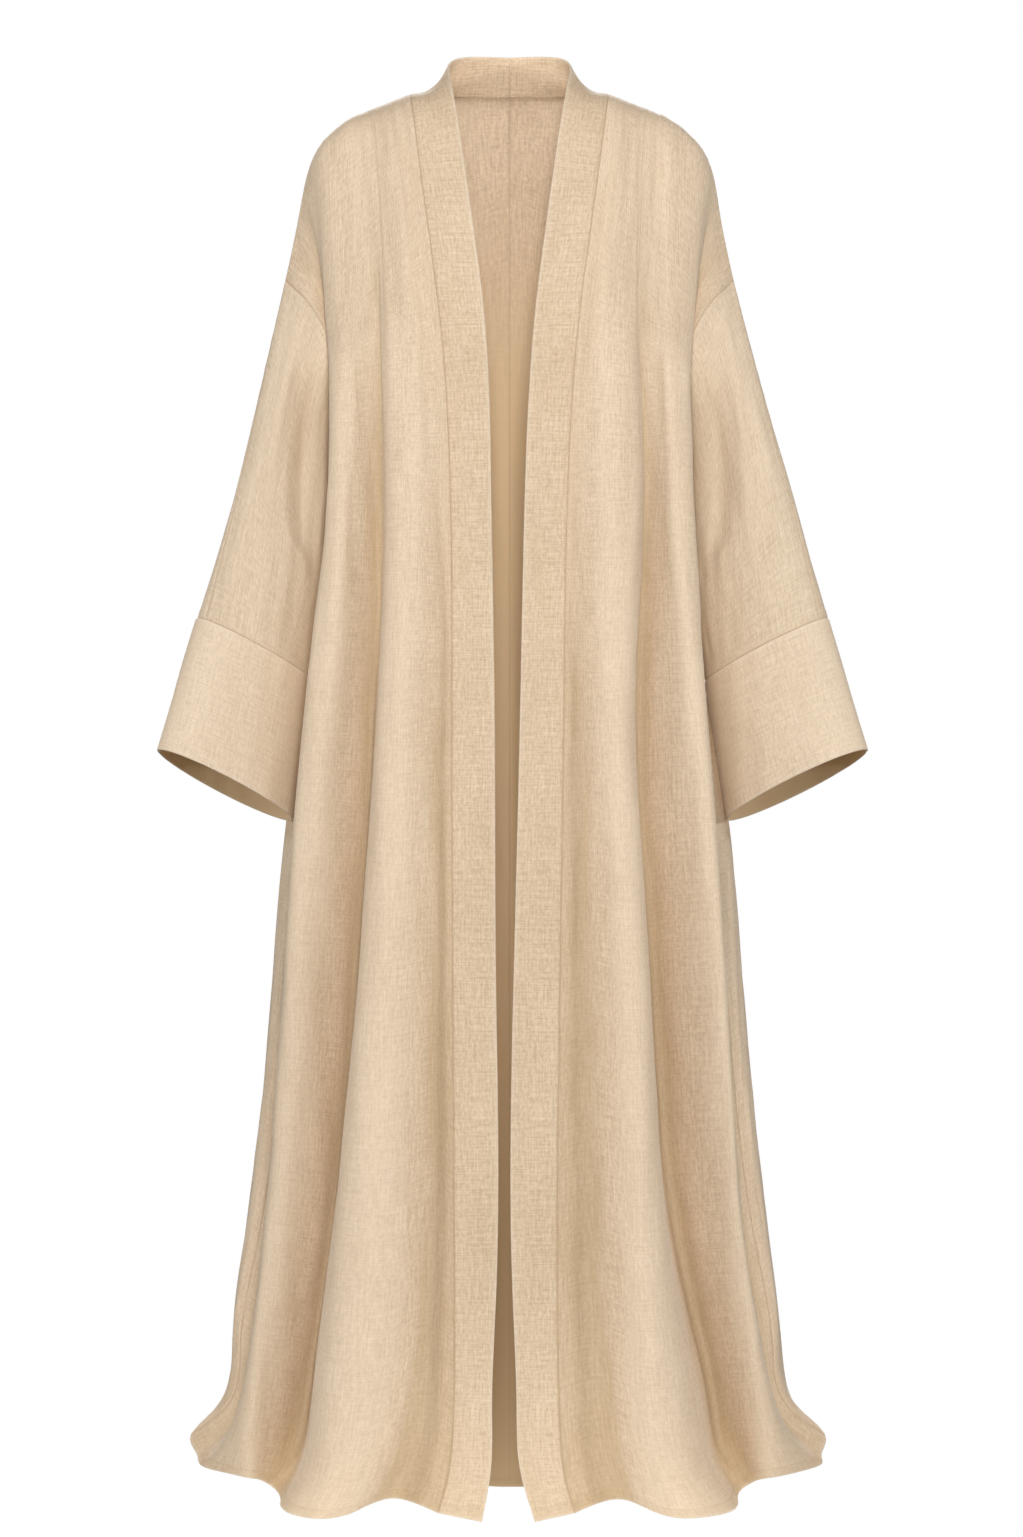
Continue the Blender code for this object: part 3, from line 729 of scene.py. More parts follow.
    def half_walls(self) -> tuple[Points, Points]:
        """How far the outer and the inner face lie from the middle surface at each point, in metres."""
        random = np.random.default_rng(self.seed + 1)
        half = self.cut.thick / 2
        seam, free = self.from_edges(Finish.SEAM), self.from_edges(Finish.FOLD, Finish.HEM)
        hem = self.from_edges(Finish.HEM)
        groove = self.groove_depth * np.exp(-((seam / self.groove_width) ** 2))
        down, across = np.meshgrid(self.down, self.across, indexing="ij")
        pucker = np.zeros_like(down)
        for _ in range(self.pucker_waves):
            turns = 2 * np.pi * (down + across) / random.uniform(*self.pucker_lengths)
            pucker += np.sin(turns + random.uniform(0, ABOUT_A_TURN)) / self.pucker_waves
        roll = np.exp(-(((seam - self.seam_roll_at) / (2.5 * MM)) ** 2)) * self.seam_roll
        roll *= 1 + 1.3 * pucker
        turned = self.hem_extra * (1 - smoothstep(self.hem_depth, self.hem_depth + 1.6 * MM, hem))
        trough = self.hem_trough * np.exp(-(((hem - self.hem_depth) / (1.3 * MM)) ** 2))
        trough *= 1 + 0.8 * pucker
        swell = 0.35 * MM * pucker * np.exp(-(((hem - self.hem_depth / 2) / (5 * MM)) ** 2))
        rounding = np.sqrt(np.clip(1 - (1 - np.clip(free / (half * 1.1), 0, 1)) ** 2, 0, 1))
        rounding = self.least_rounding + (1 - self.least_rounding) * rounding
        outer = (half + roll + turned + swell) * rounding - groove - trough
        inner = (half + roll * 0.5 + turned) * rounding - groove * 0.25 - trough
        return np.maximum(outer, self.least_wall), np.maximum(inner, self.least_wall)

    def build(self, directions: Points) -> bpy.types.Object:
        """Makes the piece's object.

        Args:
            directions: the direction from the middle surface to the outer face at each point.

        Returns:
            The object, at the origin, with its cloth UV map and the values that its finish reads.
        """
        outer_by, inner_by = self.half_walls()
        middle = self.grid + directions * self.cut.proud
        outer = middle + directions * outer_by[:, :, None]
        inner = middle - directions * inner_by[:, :, None]
        rows, columns = self.grid.shape[:2]
        ring = self.cut.closed_round
        width = columns - 1 if ring else columns
        number = np.arange(rows * width).reshape(rows, width)
        if ring:
            number = np.concatenate([number, number[:, :1]], axis=1)
        inside = rows * width
        a, b, c, d = number[:-1, :-1], number[1:, :-1], number[1:, 1:], number[:-1, 1:]
        faces = [np.stack([a, b, c, d], axis=-1).reshape(-1, 4)]
        faces.append(np.stack([a, d, c, b], axis=-1).reshape(-1, 4) + inside)
        rims = [(number[0, :-1], number[0, 1:]), (number[-1, 1:], number[-1, :-1])]
        if not ring:
            rims += [(number[1:, 0], number[:-1, 0]), (number[:-1, -1], number[1:, -1])]
        for first, second in rims:
            faces.append(np.stack([first, second, second + inside, first + inside], axis=-1))
        faces = np.concatenate(faces)
        points = np.concatenate([outer[:, :width].reshape(-1, 3), inner[:, :width].reshape(-1, 3)])
        mesh = bpy.data.meshes.new(self.name)
        mesh.from_pydata(points.tolist(), [], faces.tolist())
        mesh.validate()
        self.lay_cloth_map(mesh, width, faces)
        self.note_all(mesh, width)
        mesh.shade_smooth()
        return put_in_scene(f"{self.name}_cloth", mesh)

    def note_all(self, mesh: bpy.types.Mesh, width: int) -> None:
        """Stores the values that the finish reads: where seams, edges, folds, shade and the inside lie."""
        everywhere = np.ones(self.grid.shape[:2])
        seam = np.exp(-((self.from_edges(Finish.SEAM) / self.seam_line) ** 2))
        self.note(mesh, "seam", seam, width, inner=self.inner_seam)
        # painted highlight along the folded edges and the hem
        self.note(mesh, "edge", np.exp(-self.from_edges(Finish.FOLD, Finish.HEM) / self.edge_highlight_width), width)
        # how deep in a fold each point lies, which the finish turns into painted shade in valleys and a
        # painted highlight on ridges
        self.note(mesh, "fold", self.fold_depth(), width)
        self.note(mesh, "body_gap_shade", self.body_gap_shade * everywhere, width)
        self.note(mesh, "inner", everywhere, width, outer=0.0)
        # how far down each point lies, for the painted shade on the inner face
        drop = -self.grid[:, :, 2]
        inside = (smoothstep(*self.neck_drop, drop) + smoothstep(*self.deep_drop, drop)) / 2
        self.note(mesh, "inside", inside, width, outer=0.0)
        # darker along the turned-up hem band, and painted shade that darkens the cloth over the last few
        # centimetres towards the hem
        hem, share = self.from_edges(Finish.HEM), self.turned_up_share
        turned_up = 1 - smoothstep(self.hem_depth - 1 * MM, self.hem_depth + 1 * MM, hem)
        low = 1 - smoothstep(*self.low_shade_reach, hem)
        self.note(mesh, "hem", turned_up * share + low * (1 - share), width)

    def lay_cloth_map(self, mesh: bpy.types.Mesh, width: int, faces: Points) -> None:
        """Gives the mesh a UV map of places on the cloth, in metres across and down."""
        down, across = np.meshgrid(self.down, self.across[:width], indexing="ij")
        place = np.stack([across.ravel(), down.ravel()], axis=1)
        place = np.concatenate([place, place])[faces]
        if self.cut.closed_round:
            reach = self.across[-1]
            wraps = (np.ptp(place[:, :, 0], axis=1) > reach / 2)[:, None]
            place[:, :, 0] += np.where(wraps & (place[:, :, 0] < reach / 2), reach, 0)
        layer = mesh.uv_layers.new(name="cloth")
        layer.data.foreach_set("uv", place.astype(np.float32).ravel())

    @staticmethod
    def note(
        mesh: bpy.types.Mesh, name: str, values: Points, width: int, outer: float = 1.0, inner: float = 1.0
    ) -> None:
        """Stores a value for each point, times a factor for the outer and one for the inner face."""
        flat = values[:, :width].ravel()
        layer = mesh.attributes.new(name, "FLOAT", "POINT")
        layer.data.foreach_set("value", np.concatenate([flat * outer, flat * inner]).astype(np.float32))


def shared_directions(pieces: dict[str, ClothPiece], sharpest: float = 0.7) -> dict[str, Points]:
    """The directions from the middle surfaces to the outer faces, the same on all pieces at a seam.

    Args:
        pieces: the cloth pieces by name.
        sharpest: the least cosine by which a direction is lengthened where two pieces meet at an angle.

    Returns:
        The directions of each piece, as an array like its grid.
    """
    own = [unit(ClothPiece.surface_normals(piece.grid)).reshape(-1, 3) for piece in pieces.values()]
    stacked = np.concatenate(own)
    places = np.concatenate([piece.grid.reshape(-1, 3) for piece in pieces.values()])
    _, index = np.unique(np.rint(places / (0.02 * MM)).astype(np.int64), axis=0, return_inverse=True)
    index = index.reshape(-1)
    total = np.zeros((index.max() + 1, 3))
    np.add.at(total, index, stacked)
    total = unit(total)
    lean = np.ones(len(total))
    np.minimum.at(lean, index, np.einsum("ij,ij->i", total[index], stacked))
    directions = total[index] / np.maximum(lean[index], sharpest)[:, None]
    found, start = {}, 0
    for name, piece in pieces.items():
        count = piece.grid.shape[0] * piece.grid.shape[1]
        found[name] = directions[start : start + count].reshape(piece.grid.shape)
        start += count
    return found


def put_in_scene(name: str, data: bpy.types.ID) -> bpy.types.Object:
    """A new object in the scene, with that mesh, camera or light."""
    made = bpy.data.objects.new(name, data)
    bpy.context.scene.collection.objects.link(made)
    return made


class Wire:
    """A shader value. Arithmetic on it adds Math nodes."""

    def __init__(self, bench: Bench, socket: bpy.types.NodeSocket) -> None:
        """Wraps the socket, on the bench that holds its tree."""
        self.bench, self.socket = bench, socket

    def maths(self, operation: str, *values: Wire | float) -> Wire:
        """The result of a Math node on the values."""
        return self.bench.node("ShaderNodeMath", {"operation": operation}, *values)

    def __add__(self, other: Wire | float) -> Wire:
        """Sum."""
        return self.maths("ADD", self, other)

    def __radd__(self, other: float) -> Wire:
        """Sum."""
        return self.maths("ADD", other, self)

    def __sub__(self, other: Wire | float) -> Wire:
        """Difference."""
        return self.maths("SUBTRACT", self, other)

    def __rsub__(self, other: float) -> Wire:
        """Difference."""
        return self.maths("SUBTRACT", other, self)

    def __mul__(self, other: Wire | float) -> Wire:
        """Product."""
        return self.maths("MULTIPLY", self, other)

    def __rmul__(self, other: float) -> Wire:
        """Product."""
        return self.maths("MULTIPLY", other, self)

    def sine(self) -> Wire:
        """Sine."""
        return self.maths("SINE", self)


class Bench:
    """The node tree of a material or a world, with one way to add any node."""

    def __init__(self, owner: bpy.types.Material | bpy.types.World) -> None:
        """Empties the tree of a material or a world."""
        owner.use_nodes = True
        self.tree = owner.node_tree
        self.tree.nodes.clear()

    def node(self, kind: str, settings: dict[str, object], *values: object, output: int | str = 0) -> Wire:
        """Adds a node.

        Args:
            kind: the node's type.
            settings: its settings, which are set first.
            values: for each input in order, a value, a Wire, or None to leave it.
            output: the output that is wanted.

        Returns:
            The output as a Wire.
        """
        made = self.tree.nodes.new(kind)
        for setting, value in settings.items():
            setattr(made, setting, value)
        for socket, value in zip(made.inputs, values):
            self.plug(socket, value)
        return Wire(self, made.outputs[output])

    def plug(self, socket: bpy.types.NodeSocket, value: object) -> None:
        """Sets an input, or links a Wire to it."""
        if isinstance(value, Wire):
            self.tree.links.new(value.socket, socket)
        elif value is not None:
            socket.default_value = value

    def attribute(self, name: str) -> Wire:
        """A value that the mesh stores for each point."""
        return self.node("ShaderNodeAttribute", {"attribute_name": name}, output="Fac")

    def noise(self, across: Wire, down: Wire, detail: float, roughness: float) -> Wire:
        """Noise over two coordinates, about 0.5."""
        made = self.tree.nodes.new("ShaderNodeTexNoise")
        made.noise_dimensions = "2D"
        vector = self.node("ShaderNodeCombineXYZ", {}, across, down, 0.0)
        inputs = {"Vector": vector, "Scale": 1.0, "Detail": detail, "Roughness": roughness}
        for name, value in inputs.items():
            self.plug(made.inputs[name], value)
        return Wire(self, made.outputs["Fac"])

    def clamp(self, value: Wire, top: float = 1.0) -> Wire:
        """The value, held between 0 and a top."""
        return self.node("ShaderNodeClamp", {}, value, 0.0, top)

    def mix(self, factor: Wire | float, first: object, second: object, blend: str = "MIX") -> Wire:
        """A mix of two colours, each a Wire or its red, green and blue."""
        made = self.tree.nodes.new("ShaderNodeMix")
        made.data_type, made.blend_type, made.clamp_factor = "RGBA", blend, True
        for number, value in ((0, factor), (6, first), (7, second)):
            self.plug(made.inputs[number], (*value, 1.0) if isinstance(value, tuple) else value)
        return Wire(self, made.outputs[2])

    def surface(self, inputs: dict[str, object]) -> None:
        """Ends a material's tree with a Principled surface that has those inputs."""
        shader = self.tree.nodes.new("ShaderNodeBsdfPrincipled")
        for name, value in inputs.items():
            self.plug(shader.inputs[name], value)
        output = self.tree.nodes.new("ShaderNodeOutputMaterial")
        self.tree.links.new(shader.outputs[0], output.inputs["Surface"])


@dataclass(frozen=True)
class LinenFinish:
    """Natural linen: a plain weave of uneven threads, with slubs both ways and a slight crepe surface, with
    painted light and shade laid over its colour.
    """

    name: str
    colour: tuple[float, float, float]
    shade: tuple[float, float, float]
    seam_shade: tuple[float, float, float] = (0.42, 0.29, 0.17)
    # painted highlight: a thin lighter line along the folded edges and the hem, where light catches them
    painted_edge_highlight: tuple[float, float, float] = (0.86, 0.75, 0.62)
    # painted shade: colour that darkens and warms the cloth in the valleys of its folds, where shade falls
    painted_fold_shade: tuple[float, float, float] = (0.46, 0.315, 0.155)
    fold_shade_strength: float = 0.5
    # painted highlight: colour that lightens the ridges of the folds, where light falls on them
    painted_ridge_highlight: tuple[float, float, float] = (0.85, 0.70, 0.53)
    ridge_strength: float = 0.6
    ridge_from: float = 0.15
    ridge_top: float = 0.35
    # painted light and shade on the inner face: lighter near the neck, warmer and darker lower down, and
    # darker still towards the hem, standing in for the light that reaches the inside of the cloak
    painted_inner_light: tuple[float, float, float] = (1.19, 1.18, 1.17)
    inside: tuple[float, float, float] = (0.88, 0.66, 0.40)
    painted_deep_inside_shade: tuple[float, float, float] = (0.48, 0.33, 0.18)
    # painted shade: a dark colour where sleeve and body lie close together, where shade falls between them
    painted_body_gap_shade: tuple[float, float, float] = (0.33, 0.20, 0.085)
    body_gap_shade_strength: float = 0.85
    # how strongly the cloth darkens along the turned-up hem band and as painted shade towards the hem
    hem_shade_strength: float = 0.28
    seam_strength: float = 0.5
    edge_highlight_strength: float = 0.6
    slub_tone: float = 2.3
    crepe_tone: float = 1.3
    cloud_tone: float = 0.5
    weave_tone: float = 0.05
    crepe_relief: float = 1.1
    weave_relief: float = 0.12
    weft_share: float = 0.4
    slubs: float = 34.0
    thread: float = 1.3 * MM
    crepe: float = 2.6 * MM
    roughness: float = 0.82
    bump: float = 0.35
    bump_height: float = 0.6 * MM
    specular: float = 0.25
    sheen: float = 0.18
    sheen_roughness: float = 0.4

    def make(self) -> bpy.types.Material:
        """The finish as a material."""
        material = bpy.data.materials.new(self.name)
        bench = Bench(material)
        place = bench.node("ShaderNodeUVMap", {"uv_map": "cloth"})
        split = bench.tree.nodes.new("ShaderNodeSeparateXYZ")
        bench.tree.links.new(place.socket, split.inputs[0])
        across, down = Wire(bench, split.outputs[0]), Wire(bench, split.outputs[1])
        fine, wide = 1 / self.thread, self.slubs
        warp = bench.noise(across * fine, down * wide, 3.0, 0.55)
        weft = bench.noise(across * wide + 71.0, down * fine, 3.0, 0.55)
        crepe = bench.noise(across * (1 / self.crepe) + 13.0, down * (0.55 / self.crepe), 3.0, 0.6)
        cloud = bench.noise(across * 14.0 + 5.0, down * 6.0, 2.0, 0.5)
        turn = 2 * math.pi / self.thread
        weave = (across * turn).sine() * (down * turn).sine()
        slub = warp * (1 - self.weft_share) + weft * self.weft_share
        tone = (slub - 0.5) * self.slub_tone + (crepe - 0.5) * self.crepe_tone
        tone = tone + (cloud - 0.5) * self.cloud_tone + weave * self.weave_tone + 0.5
        fold, inside = bench.attribute("fold"), bench.attribute("inside")
        # how far each point lies on a ridge, for the painted highlight there
        ridge = bench.clamp(fold * -self.ridge_strength - self.ridge_from, self.ridge_top)
        # painted light and shade over the cloth's colour: shade in the folds, highlights on the ridges,
        # shade near the hem and between sleeve and body, light and shade on the inner face, then the dark
        # seam lines and highlights on folded edges
        layers = (
            (bench.clamp(fold * self.fold_shade_strength), self.painted_fold_shade, "MIX"),
            (ridge, self.painted_ridge_highlight, "MIX"),
            (bench.attribute("hem") * self.hem_shade_strength, self.painted_fold_shade, "MIX"),
            (bench.clamp(bench.attribute("body_gap_shade") * self.body_gap_shade_strength), self.painted_body_gap_shade, "MIX"),
            # the inner face lightened as painted light, then painted shade that warms and darkens it lower
            # down
            (bench.attribute("inner"), self.painted_inner_light, "MULTIPLY"),
            (inside * 2.0, self.inside, "MIX"),
            (inside * 2.0 - 1.0, self.painted_deep_inside_shade, "MIX"),
            (bench.attribute("seam") * self.seam_strength, self.seam_shade, "MIX"),
            (bench.attribute("edge") * self.edge_highlight_strength, self.painted_edge_highlight, "MIX"),
        )
        colour = bench.mix(tone, self.shade, self.colour)
        for factor, tint, blend in layers:
            colour = bench.mix(factor, colour, tint, blend)
        bump = bench.tree.nodes.new("ShaderNodeBump")
        bump.inputs["Strength"].default_value = self.bump
        bump.inputs["Distance"].default_value = self.bump_height
        bench.plug(bump.inputs["Height"], slub + crepe * self.crepe_relief + weave * self.weave_relief)
        bench.surface({
            "Base Color": colour, "Roughness": self.roughness, "Specular IOR Level": self.specular,
            "Sheen Weight": self.sheen, "Sheen Roughness": self.sheen_roughness,
            "Normal": Wire(bench, bump.outputs["Normal"]),
        })
        return material


@dataclass(frozen=True)
class ThreadFinish:
    """The sewing thread, a shade darker than the cloth."""

    name: str = "linen_thread"
    colour: tuple[float, float, float] = (0.60, 0.45, 0.31)
    dark_share: float = 0.8
    twists: float = 900.0
    roughness: float = 0.7

    def make(self) -> bpy.types.Material:
        """The finish as a material."""
        material = bpy.data.materials.new(self.name)
        bench = Bench(material)
        place = bench.node("ShaderNodeTexCoord", {}, output="Object")
        twist = bench.tree.nodes.new("ShaderNodeTexNoise")
        bench.plug(twist.inputs["Vector"], place)
        twist.inputs["Scale"].default_value = self.twists
        darker = tuple(self.dark_share * c for c in self.colour)
        colour = bench.mix(Wire(bench, twist.outputs["Fac"]), darker, self.colour)
        bench.surface({"Base Color": colour, "Roughness": self.roughness})
        return material


class StitchRow:
    """Rows of stitches along lines on the cloth, made with Geometry Nodes."""

    inputs = {
        "Pitch": 3.1 * MM,
        "Stitch Length": 2.3 * MM,
        "Thread Thickness": 0.45 * MM,
        "Unevenness": 0.18,
    }

    def __init__(self, thread: bpy.types.Material) -> None:
        """Builds the node group.

        Args:
            thread: the thread's material.
        """
        tree = bpy.data.node_groups.new("stitch_row", "GeometryNodeTree")
        self.tree = tree
        face = tree.interface
        face.new_socket("Geometry", in_out="INPUT", socket_type="NodeSocketGeometry")
        face.new_socket("Geometry", in_out="OUTPUT", socket_type="NodeSocketGeometry")
        for name, value in self.inputs.items():
            face.new_socket(name, in_out="INPUT", socket_type="NodeSocketFloat").default_value = value
        face.new_socket("Seed", in_out="INPUT", socket_type="NodeSocketInt").default_value = 3
        entry, leave = tree.nodes.new("NodeGroupInput"), tree.nodes.new("NodeGroupOutput")
        curve = self.node("GeometryNodeMeshToCurve", {}, {"Mesh": entry.outputs["Geometry"]})
        points = self.node(
            "GeometryNodeCurveToPoints", {"mode": "LENGTH"},
            {"Curve": curve.outputs["Curve"], "Length": entry.outputs["Pitch"]},
        )
        bead = self.node("GeometryNodeMeshUVSphere", {}, {"Segments": 6, "Rings": 4, "Radius": 0.5})
        thick, long = entry.outputs["Thread Thickness"], entry.outputs["Stitch Length"]
        size = self.node("ShaderNodeCombineXYZ", {}, {"X": thick, "Y": thick, "Z": long})
        seed = {"Seed": entry.outputs["Seed"]}
        uneven = self.node("FunctionNodeRandomValue", {"data_type": "FLOAT"}, seed)
        spread = self.node("ShaderNodeMath", {"operation": "MULTIPLY_ADD"}, {2: 1.0})
        centred = self.node("ShaderNodeMath", {"operation": "SUBTRACT"}, {0: uneven.outputs[1], 1: 0.5})
        tree.links.new(centred.outputs[0], spread.inputs[0])
        tree.links.new(entry.outputs["Unevenness"], spread.inputs[1])
        scale = self.node("ShaderNodeVectorMath", {"operation": "SCALE"}, {0: size.outputs[0]})
        tree.links.new(spread.outputs[0], scale.inputs["Scale"])
        placed = self.node(
            "GeometryNodeInstanceOnPoints", {},
            {
                "Points": points.outputs["Points"], "Instance": bead.outputs["Mesh"],
                "Rotation": points.outputs["Rotation"], "Scale": scale.outputs["Vector"],
            },
        )
        real = self.node("GeometryNodeRealizeInstances", {}, {"Geometry": placed.outputs["Instances"]})
        finish = {"Geometry": real.outputs["Geometry"], "Material": thread}
        dressed = self.node("GeometryNodeSetMaterial", {}, finish)
        tree.links.new(dressed.outputs["Geometry"], leave.inputs[0])

    def node(
        self, kind: str, settings: dict[str, object], inputs: dict[str | int, object]
    ) -> bpy.types.Node:
        """Adds a node with its settings and the values or links of its inputs."""
        made = self.tree.nodes.new(kind)
        for setting, value in settings.items():
            setattr(made, setting, value)
        for name, value in inputs.items():
            if isinstance(value, bpy.types.NodeSocket):
                self.tree.links.new(value, made.inputs[name])
            else:
                made.inputs[name].default_value = value
        return made

    def sew(self, name: str, lines: list[Points], seed: int) -> bpy.types.Object:
        """Sews rows of stitches.

        Args:
            name: the name of the object.
            lines: for each row, its points on the cloth's surface.
            seed: the seed of the stitches' unevenness.

        Returns:
            The stitches as one plain mesh object.
        """
        points, edges = [], []
        for line in lines:
            start = len(points)
            points += line.tolist()
            edges += [(start + i, start + i + 1) for i in range(len(line) - 1)]
        mesh = bpy.data.meshes.new(name + "_path")
        mesh.from_pydata(points, edges, [])
        path = put_in_scene(name + "_path", mesh)
        modifier = path.modifiers.new("stitches", "NODES")
        modifier.node_group = self.tree
        for item in self.tree.interface.items_tree:
            if item.in_out == "INPUT" and item.name == "Seed":
                modifier[item.identifier] = seed
        graph = bpy.context.evaluated_depsgraph_get()
        made_mesh = bpy.data.meshes.new_from_object(path.evaluated_get(graph))
        bpy.data.objects.remove(path)
        made_mesh.name = name
        made_mesh.shade_smooth()
        return put_in_scene(name, made_mesh)


SEWN_ROUND = (Finish.SEAM, Finish.SEAM, Finish.SEAM, Finish.SEAM)
SEWN_AND_HEMMED = (Finish.SEAM, Finish.HEM, Finish.SEAM, Finish.SEAM)


class Cloak:
    """The whole cloak, made of its cut and sewn pieces."""

    single, double = 1.6 * MM, 2.4 * MM
    cuts = {
        "front": ClothCut(single, SEWN_AND_HEMMED, (0.44, 1.47), 0.42, creases=90, band_shadow=0.5),
        "back": ClothCut(single, SEWN_AND_HEMMED, (0.48, 1.47), 0.47, creases=90),
        "band": ClothCut(
            double, (Finish.HEM, Finish.SEAM, Finish.SEAM, Finish.FOLD), (0.043, 1.60), 0.068,
            creases=14, ripple=0.2 * MM,
        ),
        "sleeve_front": ClothCut(single, SEWN_ROUND, (0.19, 0.34), 0.045, creases=16),
        "sleeve_back": ClothCut(single, SEWN_ROUND, (0.22, 0.36), 0.058, creases=16),
        "cuff": ClothCut(
            double, (Finish.FOLD, Finish.FOLD, Finish.INSIDE, Finish.INSIDE), (0.37, 0.15), 0.053,
            creases=12, ripple=0.3 * MM, proud=1.0 * MM, closed_round=True,
        ),
    }
    # the sleeve and cuff copies of the linen are lighter than the panels' as painted light, making up for
    # the light that falls less fully on their rounded shapes; the band's copy is darker
    finishes = {
        "panel": LinenFinish("linen", colour=(0.84, 0.688, 0.52), shade=(0.61, 0.465, 0.322)),
        "sleeve": LinenFinish("linen_sleeve", colour=(0.865, 0.72, 0.55), shade=(0.645, 0.505, 0.358)),
        "band": LinenFinish(
            "linen_band", colour=(0.80, 0.64, 0.47), shade=(0.57, 0.43, 0.285),
            painted_edge_highlight=(0.88, 0.78, 0.65), weft_share=0.5,
        ),
        "cuff": LinenFinish(
            "linen_cuff", colour=(0.91, 0.755, 0.58), shade=(0.71, 0.565, 0.41),
            painted_edge_highlight=(0.9, 0.8, 0.68), weft_share=0.5,
        ),
    }
    # how far from the other part the painted shade between sleeve and body reaches, and at which heights and
    # fold depths it sets in
    body_gap_shade_reach = 40 * MM
    sleeve_gap_shade_drop = (0.26, 0.36)
    body_gap_shade_drop = (0.1, 0.24)
    body_gap_shade_fold = (0.1, 0.5)

    def __init__(self) -> None:
        """Works out every piece's middle surface."""
        self.pieces: dict[str, ClothPiece] = {}
        for side in Side:
            for piece, grid in WornForm(side).surfaces().items():
                name = f"{piece}_{side.value}"
                cut = self.cuts[piece]
                if is_turned(side, piece):
                    first_row, last_row, first_column, last_column = cut.edges
                    cut = replace(cut, edges=(first_row, last_row, last_column, first_column))
                self.pieces[name] = ClothPiece(name, grid, cut, seed=101 + 7 * len(self.pieces))
        self.directions = shared_directions(self.pieces)
        for side in Side:
            self.pieces[f"front_{side.value}"].band_column = -1 if side is Side.RIGHT else 0
            self.paint_shade_by_body(side)

    def paint_shade_by_body(self, side: Side) -> None:
        """Marks where a side's sleeve and body lie so close that little light comes between them, for
        painted shade there.
        """
        for body, sleeves in (("front", ("sleeve_front", "cuff")), ("back", ("sleeve_back",))):
            panel = self.pieces[f"{body}_{side.value}"]
            for kind in sleeves:
                sleeve = self.pieces[f"{kind}_{side.value}"]
                near = self.nearness(sleeve.grid, panel.grid[::4, ::3])
                sleeve.body_gap_shade = near * smoothstep(*self.sleeve_gap_shade_drop, -sleeve.grid[:, :, 2])
                if not np.any(panel.body_gap_shade):
                    near = self.nearness(panel.grid, sleeve.grid[::3, ::3])
                    near *= smoothstep(*self.body_gap_shade_fold, panel.fold_depth())
                    panel.body_gap_shade = near * smoothstep(*self.body_gap_shade_drop, -panel.grid[:, :, 2])

    def nearness(self, grid: Points, other: Points) -> Points:
        """How near each point of a grid lies to another grid, from 1 where they touch down to 0."""
        other = other.reshape(-1, 3)
        nearest = np.array([np.linalg.norm(row[:, None] - other[None], axis=2).min(axis=1) for row in grid])
        return np.exp(-((nearest / self.body_gap_shade_reach) ** 2))

    def hem_lines(self, piece: ClothPiece) -> list[Points]:
        """The hem's row of stitches on one piece, on its outer face.

        Args:
            piece: the cloth piece.

        Returns:
            Its lines, or none where the piece has no hem.
        """
        outer_by, _ = piece.half_walls()
        if piece.cut.edges[1] is Finish.HEM:
            row = int(np.argmin(np.abs(piece.down[-1] - piece.down - piece.hem_depth)))
        elif piece.cut.edges[0] is Finish.HEM:
            row = int(np.argmin(np.abs(piece.down - piece.down[0] - piece.hem_depth)))
        else:
            return []
        line = piece.grid[row] + self.directions[piece.name][row] * outer_by[row][:, None]
        return [line[3:-3]]

    def make(self) -> list[bpy.types.Object]:
        """Builds and dresses every piece, hides the solid that it takes the place of and hangs it on the
        body.

        Returns:
            The objects.
        """
        finishes = {kind: finish.make() for kind, finish in self.finishes.items()}
        stitch_row = StitchRow(ThreadFinish().make())
        made = []
        for name, piece in self.pieces.items():
            kind = name.split("_")[0]
            cloth = piece.build(self.directions[name])
            cloth.data.materials.append(finishes["panel" if kind in ("front", "back") else kind])
            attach(cloth, BODY)
            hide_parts(name)
            sewn = []
            lines = self.hem_lines(piece)
            if lines:
                stitches = stitch_row.sew(f"{name}_stitches", lines, seed=piece.seed)
                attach(stitches, BODY)
                sewn.append(stitches)
            log.info("%s: %d points, %d stitch rows", cloth.name, len(cloth.data.vertices), len(lines))
            made += [cloth, *sewn]
        return made


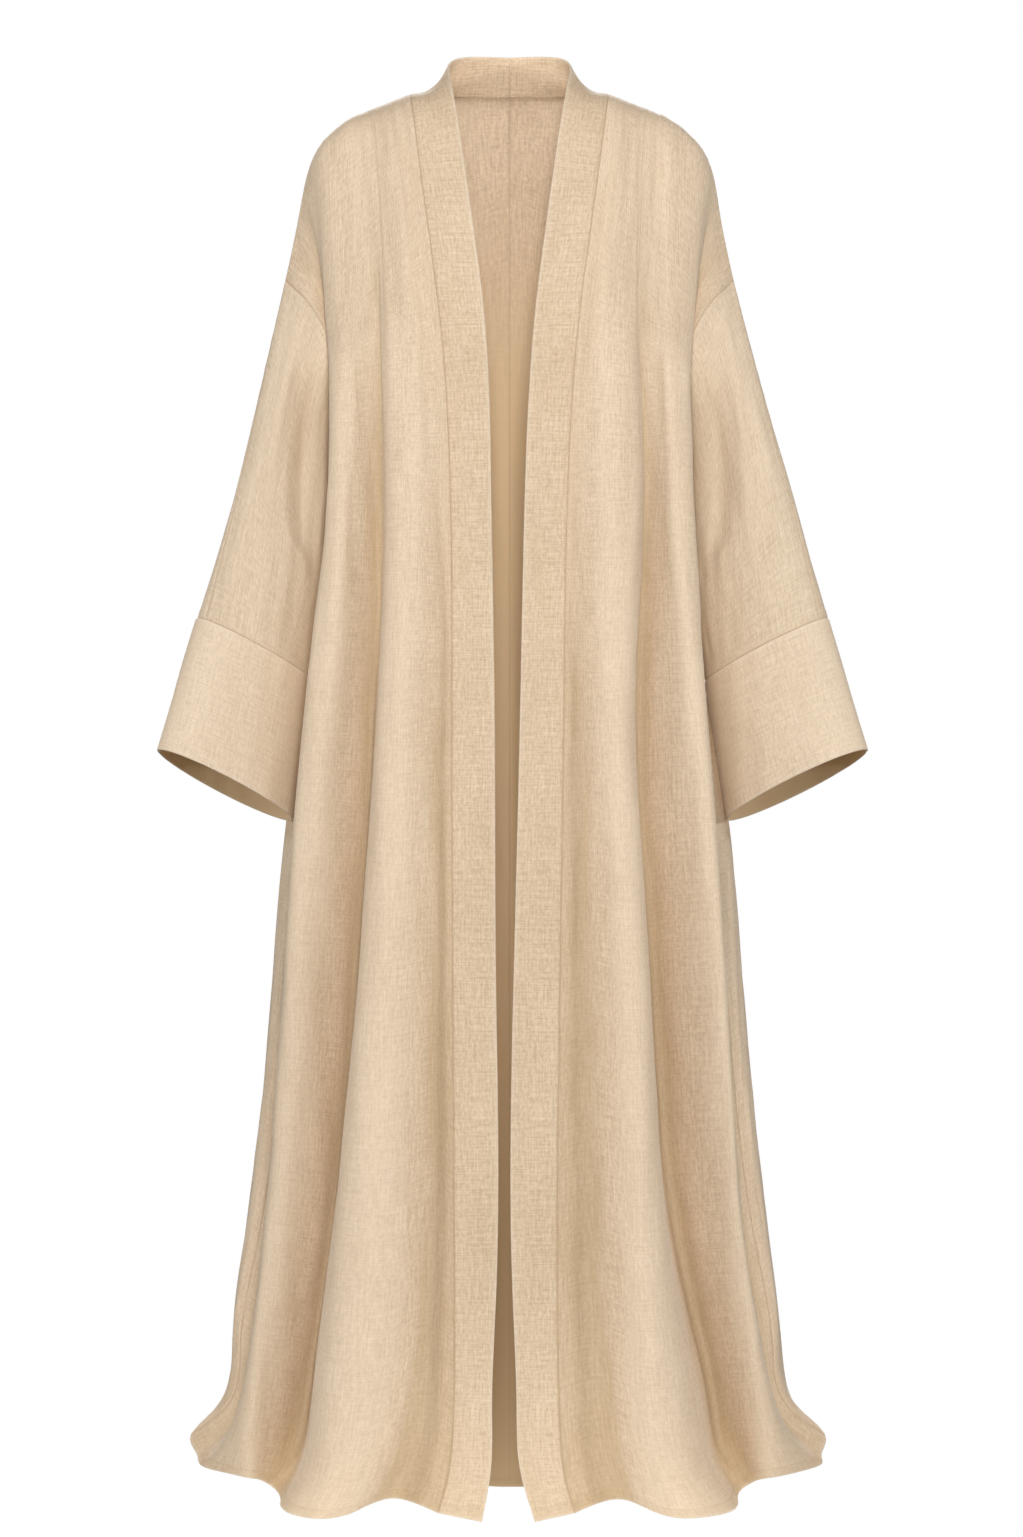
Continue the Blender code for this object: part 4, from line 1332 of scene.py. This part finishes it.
@dataclass(frozen=True)
class Studio:
    """A plain pale surround, soft light and the photograph's camera, with lights as a place and a power."""

    softboxes = {
        "front": ((0.08, -4.1, 0.7), 107.0),
        "right": ((3.9, -2.25, 0.2), 50.0),
        "left": ((-3.9, -2.25, 0.2), 52.0),
        "behind": ((-0.1, 3.9, 1.5), 120.0),
    }

    floor_z: float = -1.4125
    floor_reach: float = 0.36
    lens: float = 163.95
    sensor: float = 36.0
    sees_to: float = 60.0
    aim: tuple[float, float, float] = (0.0, 0.0, -0.68)
    camera_at: tuple[float, float, float] = (0.002, -7.0, -0.6735)
    ambient: float = 0.24
    from_above: float = 0.35
    ambient_colour: tuple[float, float, float] = (1.0, 0.93, 0.82)
    light_size: float = 0.7

    def camera(self) -> None:
        """Sets up the camera, level with the middle of the cloak."""
        data = bpy.data.cameras.new("camera")
        data.lens, data.sensor_fit, data.sensor_height = self.lens, "VERTICAL", self.sensor
        data.clip_end = self.sees_to
        camera = put_in_scene("camera", data)
        camera.location = self.camera_at
        camera.rotation_euler = (math.pi / 2, 0, 0)
        bpy.context.scene.camera = camera

    def surround(self) -> None:
        """Lays the floor, and lights the cloak evenly from all round."""
        world = bpy.data.worlds.new("studio")
        world.use_nodes = True
        bench = Bench(world)
        seen = bench.node("ShaderNodeLightPath", {}, output="Is Camera Ray")
        way = bench.tree.nodes.new("ShaderNodeSeparateXYZ")
        bench.plug(way.inputs[0], bench.node("ShaderNodeTexCoord", {}, output="Generated"))
        soft = Wire(bench, way.outputs["Z"]) * (self.from_above * self.ambient) + self.ambient
        strength = seen * (1.0 - soft) + soft
        colour = bench.mix(seen, self.ambient_colour, (1.0, 1.0, 1.0))
        background = bench.node("ShaderNodeBackground", {}, colour, strength)
        output = bench.tree.nodes.new("ShaderNodeOutputWorld")
        bench.tree.links.new(background.socket, output.inputs["Surface"])
        bpy.context.scene.world = world
        mesh = bpy.data.meshes.new("floor")
        turns = np.linspace(0, 2 * np.pi, 96, endpoint=False)
        rim = np.stack([np.cos(turns) * self.floor_reach, np.sin(turns) * self.floor_reach], axis=1)
        mesh.from_pydata([(x, y, self.floor_z) for x, y in rim], [], [tuple(range(len(turns)))])
        floor = put_in_scene("floor", mesh)
        material = bpy.data.materials.new("pale_floor")
        Bench(material).surface({
            "Base Color": (0.02, 0.02, 0.02, 1), "Roughness": 1.0, "Specular IOR Level": 0.0,
            "Emission Color": (1, 1, 1, 1), "Emission Strength": 1.0,
        })
        mesh.materials.append(material)

    def lights(self) -> None:
        """Adds the soft round lights, each turned to the middle of the cloak."""
        for name, (place, energy) in self.softboxes.items():
            data = bpy.data.lights.new(f"softbox_{name}", "AREA")
            data.shape, data.size, data.energy = "DISK", self.light_size, energy
            light = put_in_scene(f"softbox_{name}", data)
            light.location = place
            way = Vector(self.aim) - Vector(place)
            light.rotation_euler = way.to_track_quat("-Z", "Y").to_euler()
            light.visible_camera = False

    def set_up(self) -> None:
        """Makes the whole studio, and shows colours as they are."""
        self.camera()
        self.surround()
        self.lights()
        view = bpy.context.scene.view_settings
        view.view_transform, view.look = "Standard", "None"
        view.exposure, view.gamma = 0.0, 1.0


def main() -> None:
    """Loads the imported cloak, dresses it and lights it."""
    logging.basicConfig(level=logging.INFO, format="%(name)s: %(message)s")
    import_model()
    Studio().set_up()
    made = Cloak().make()
    log.info("%d objects", len(made))


if __name__ == "__main__":
    main()
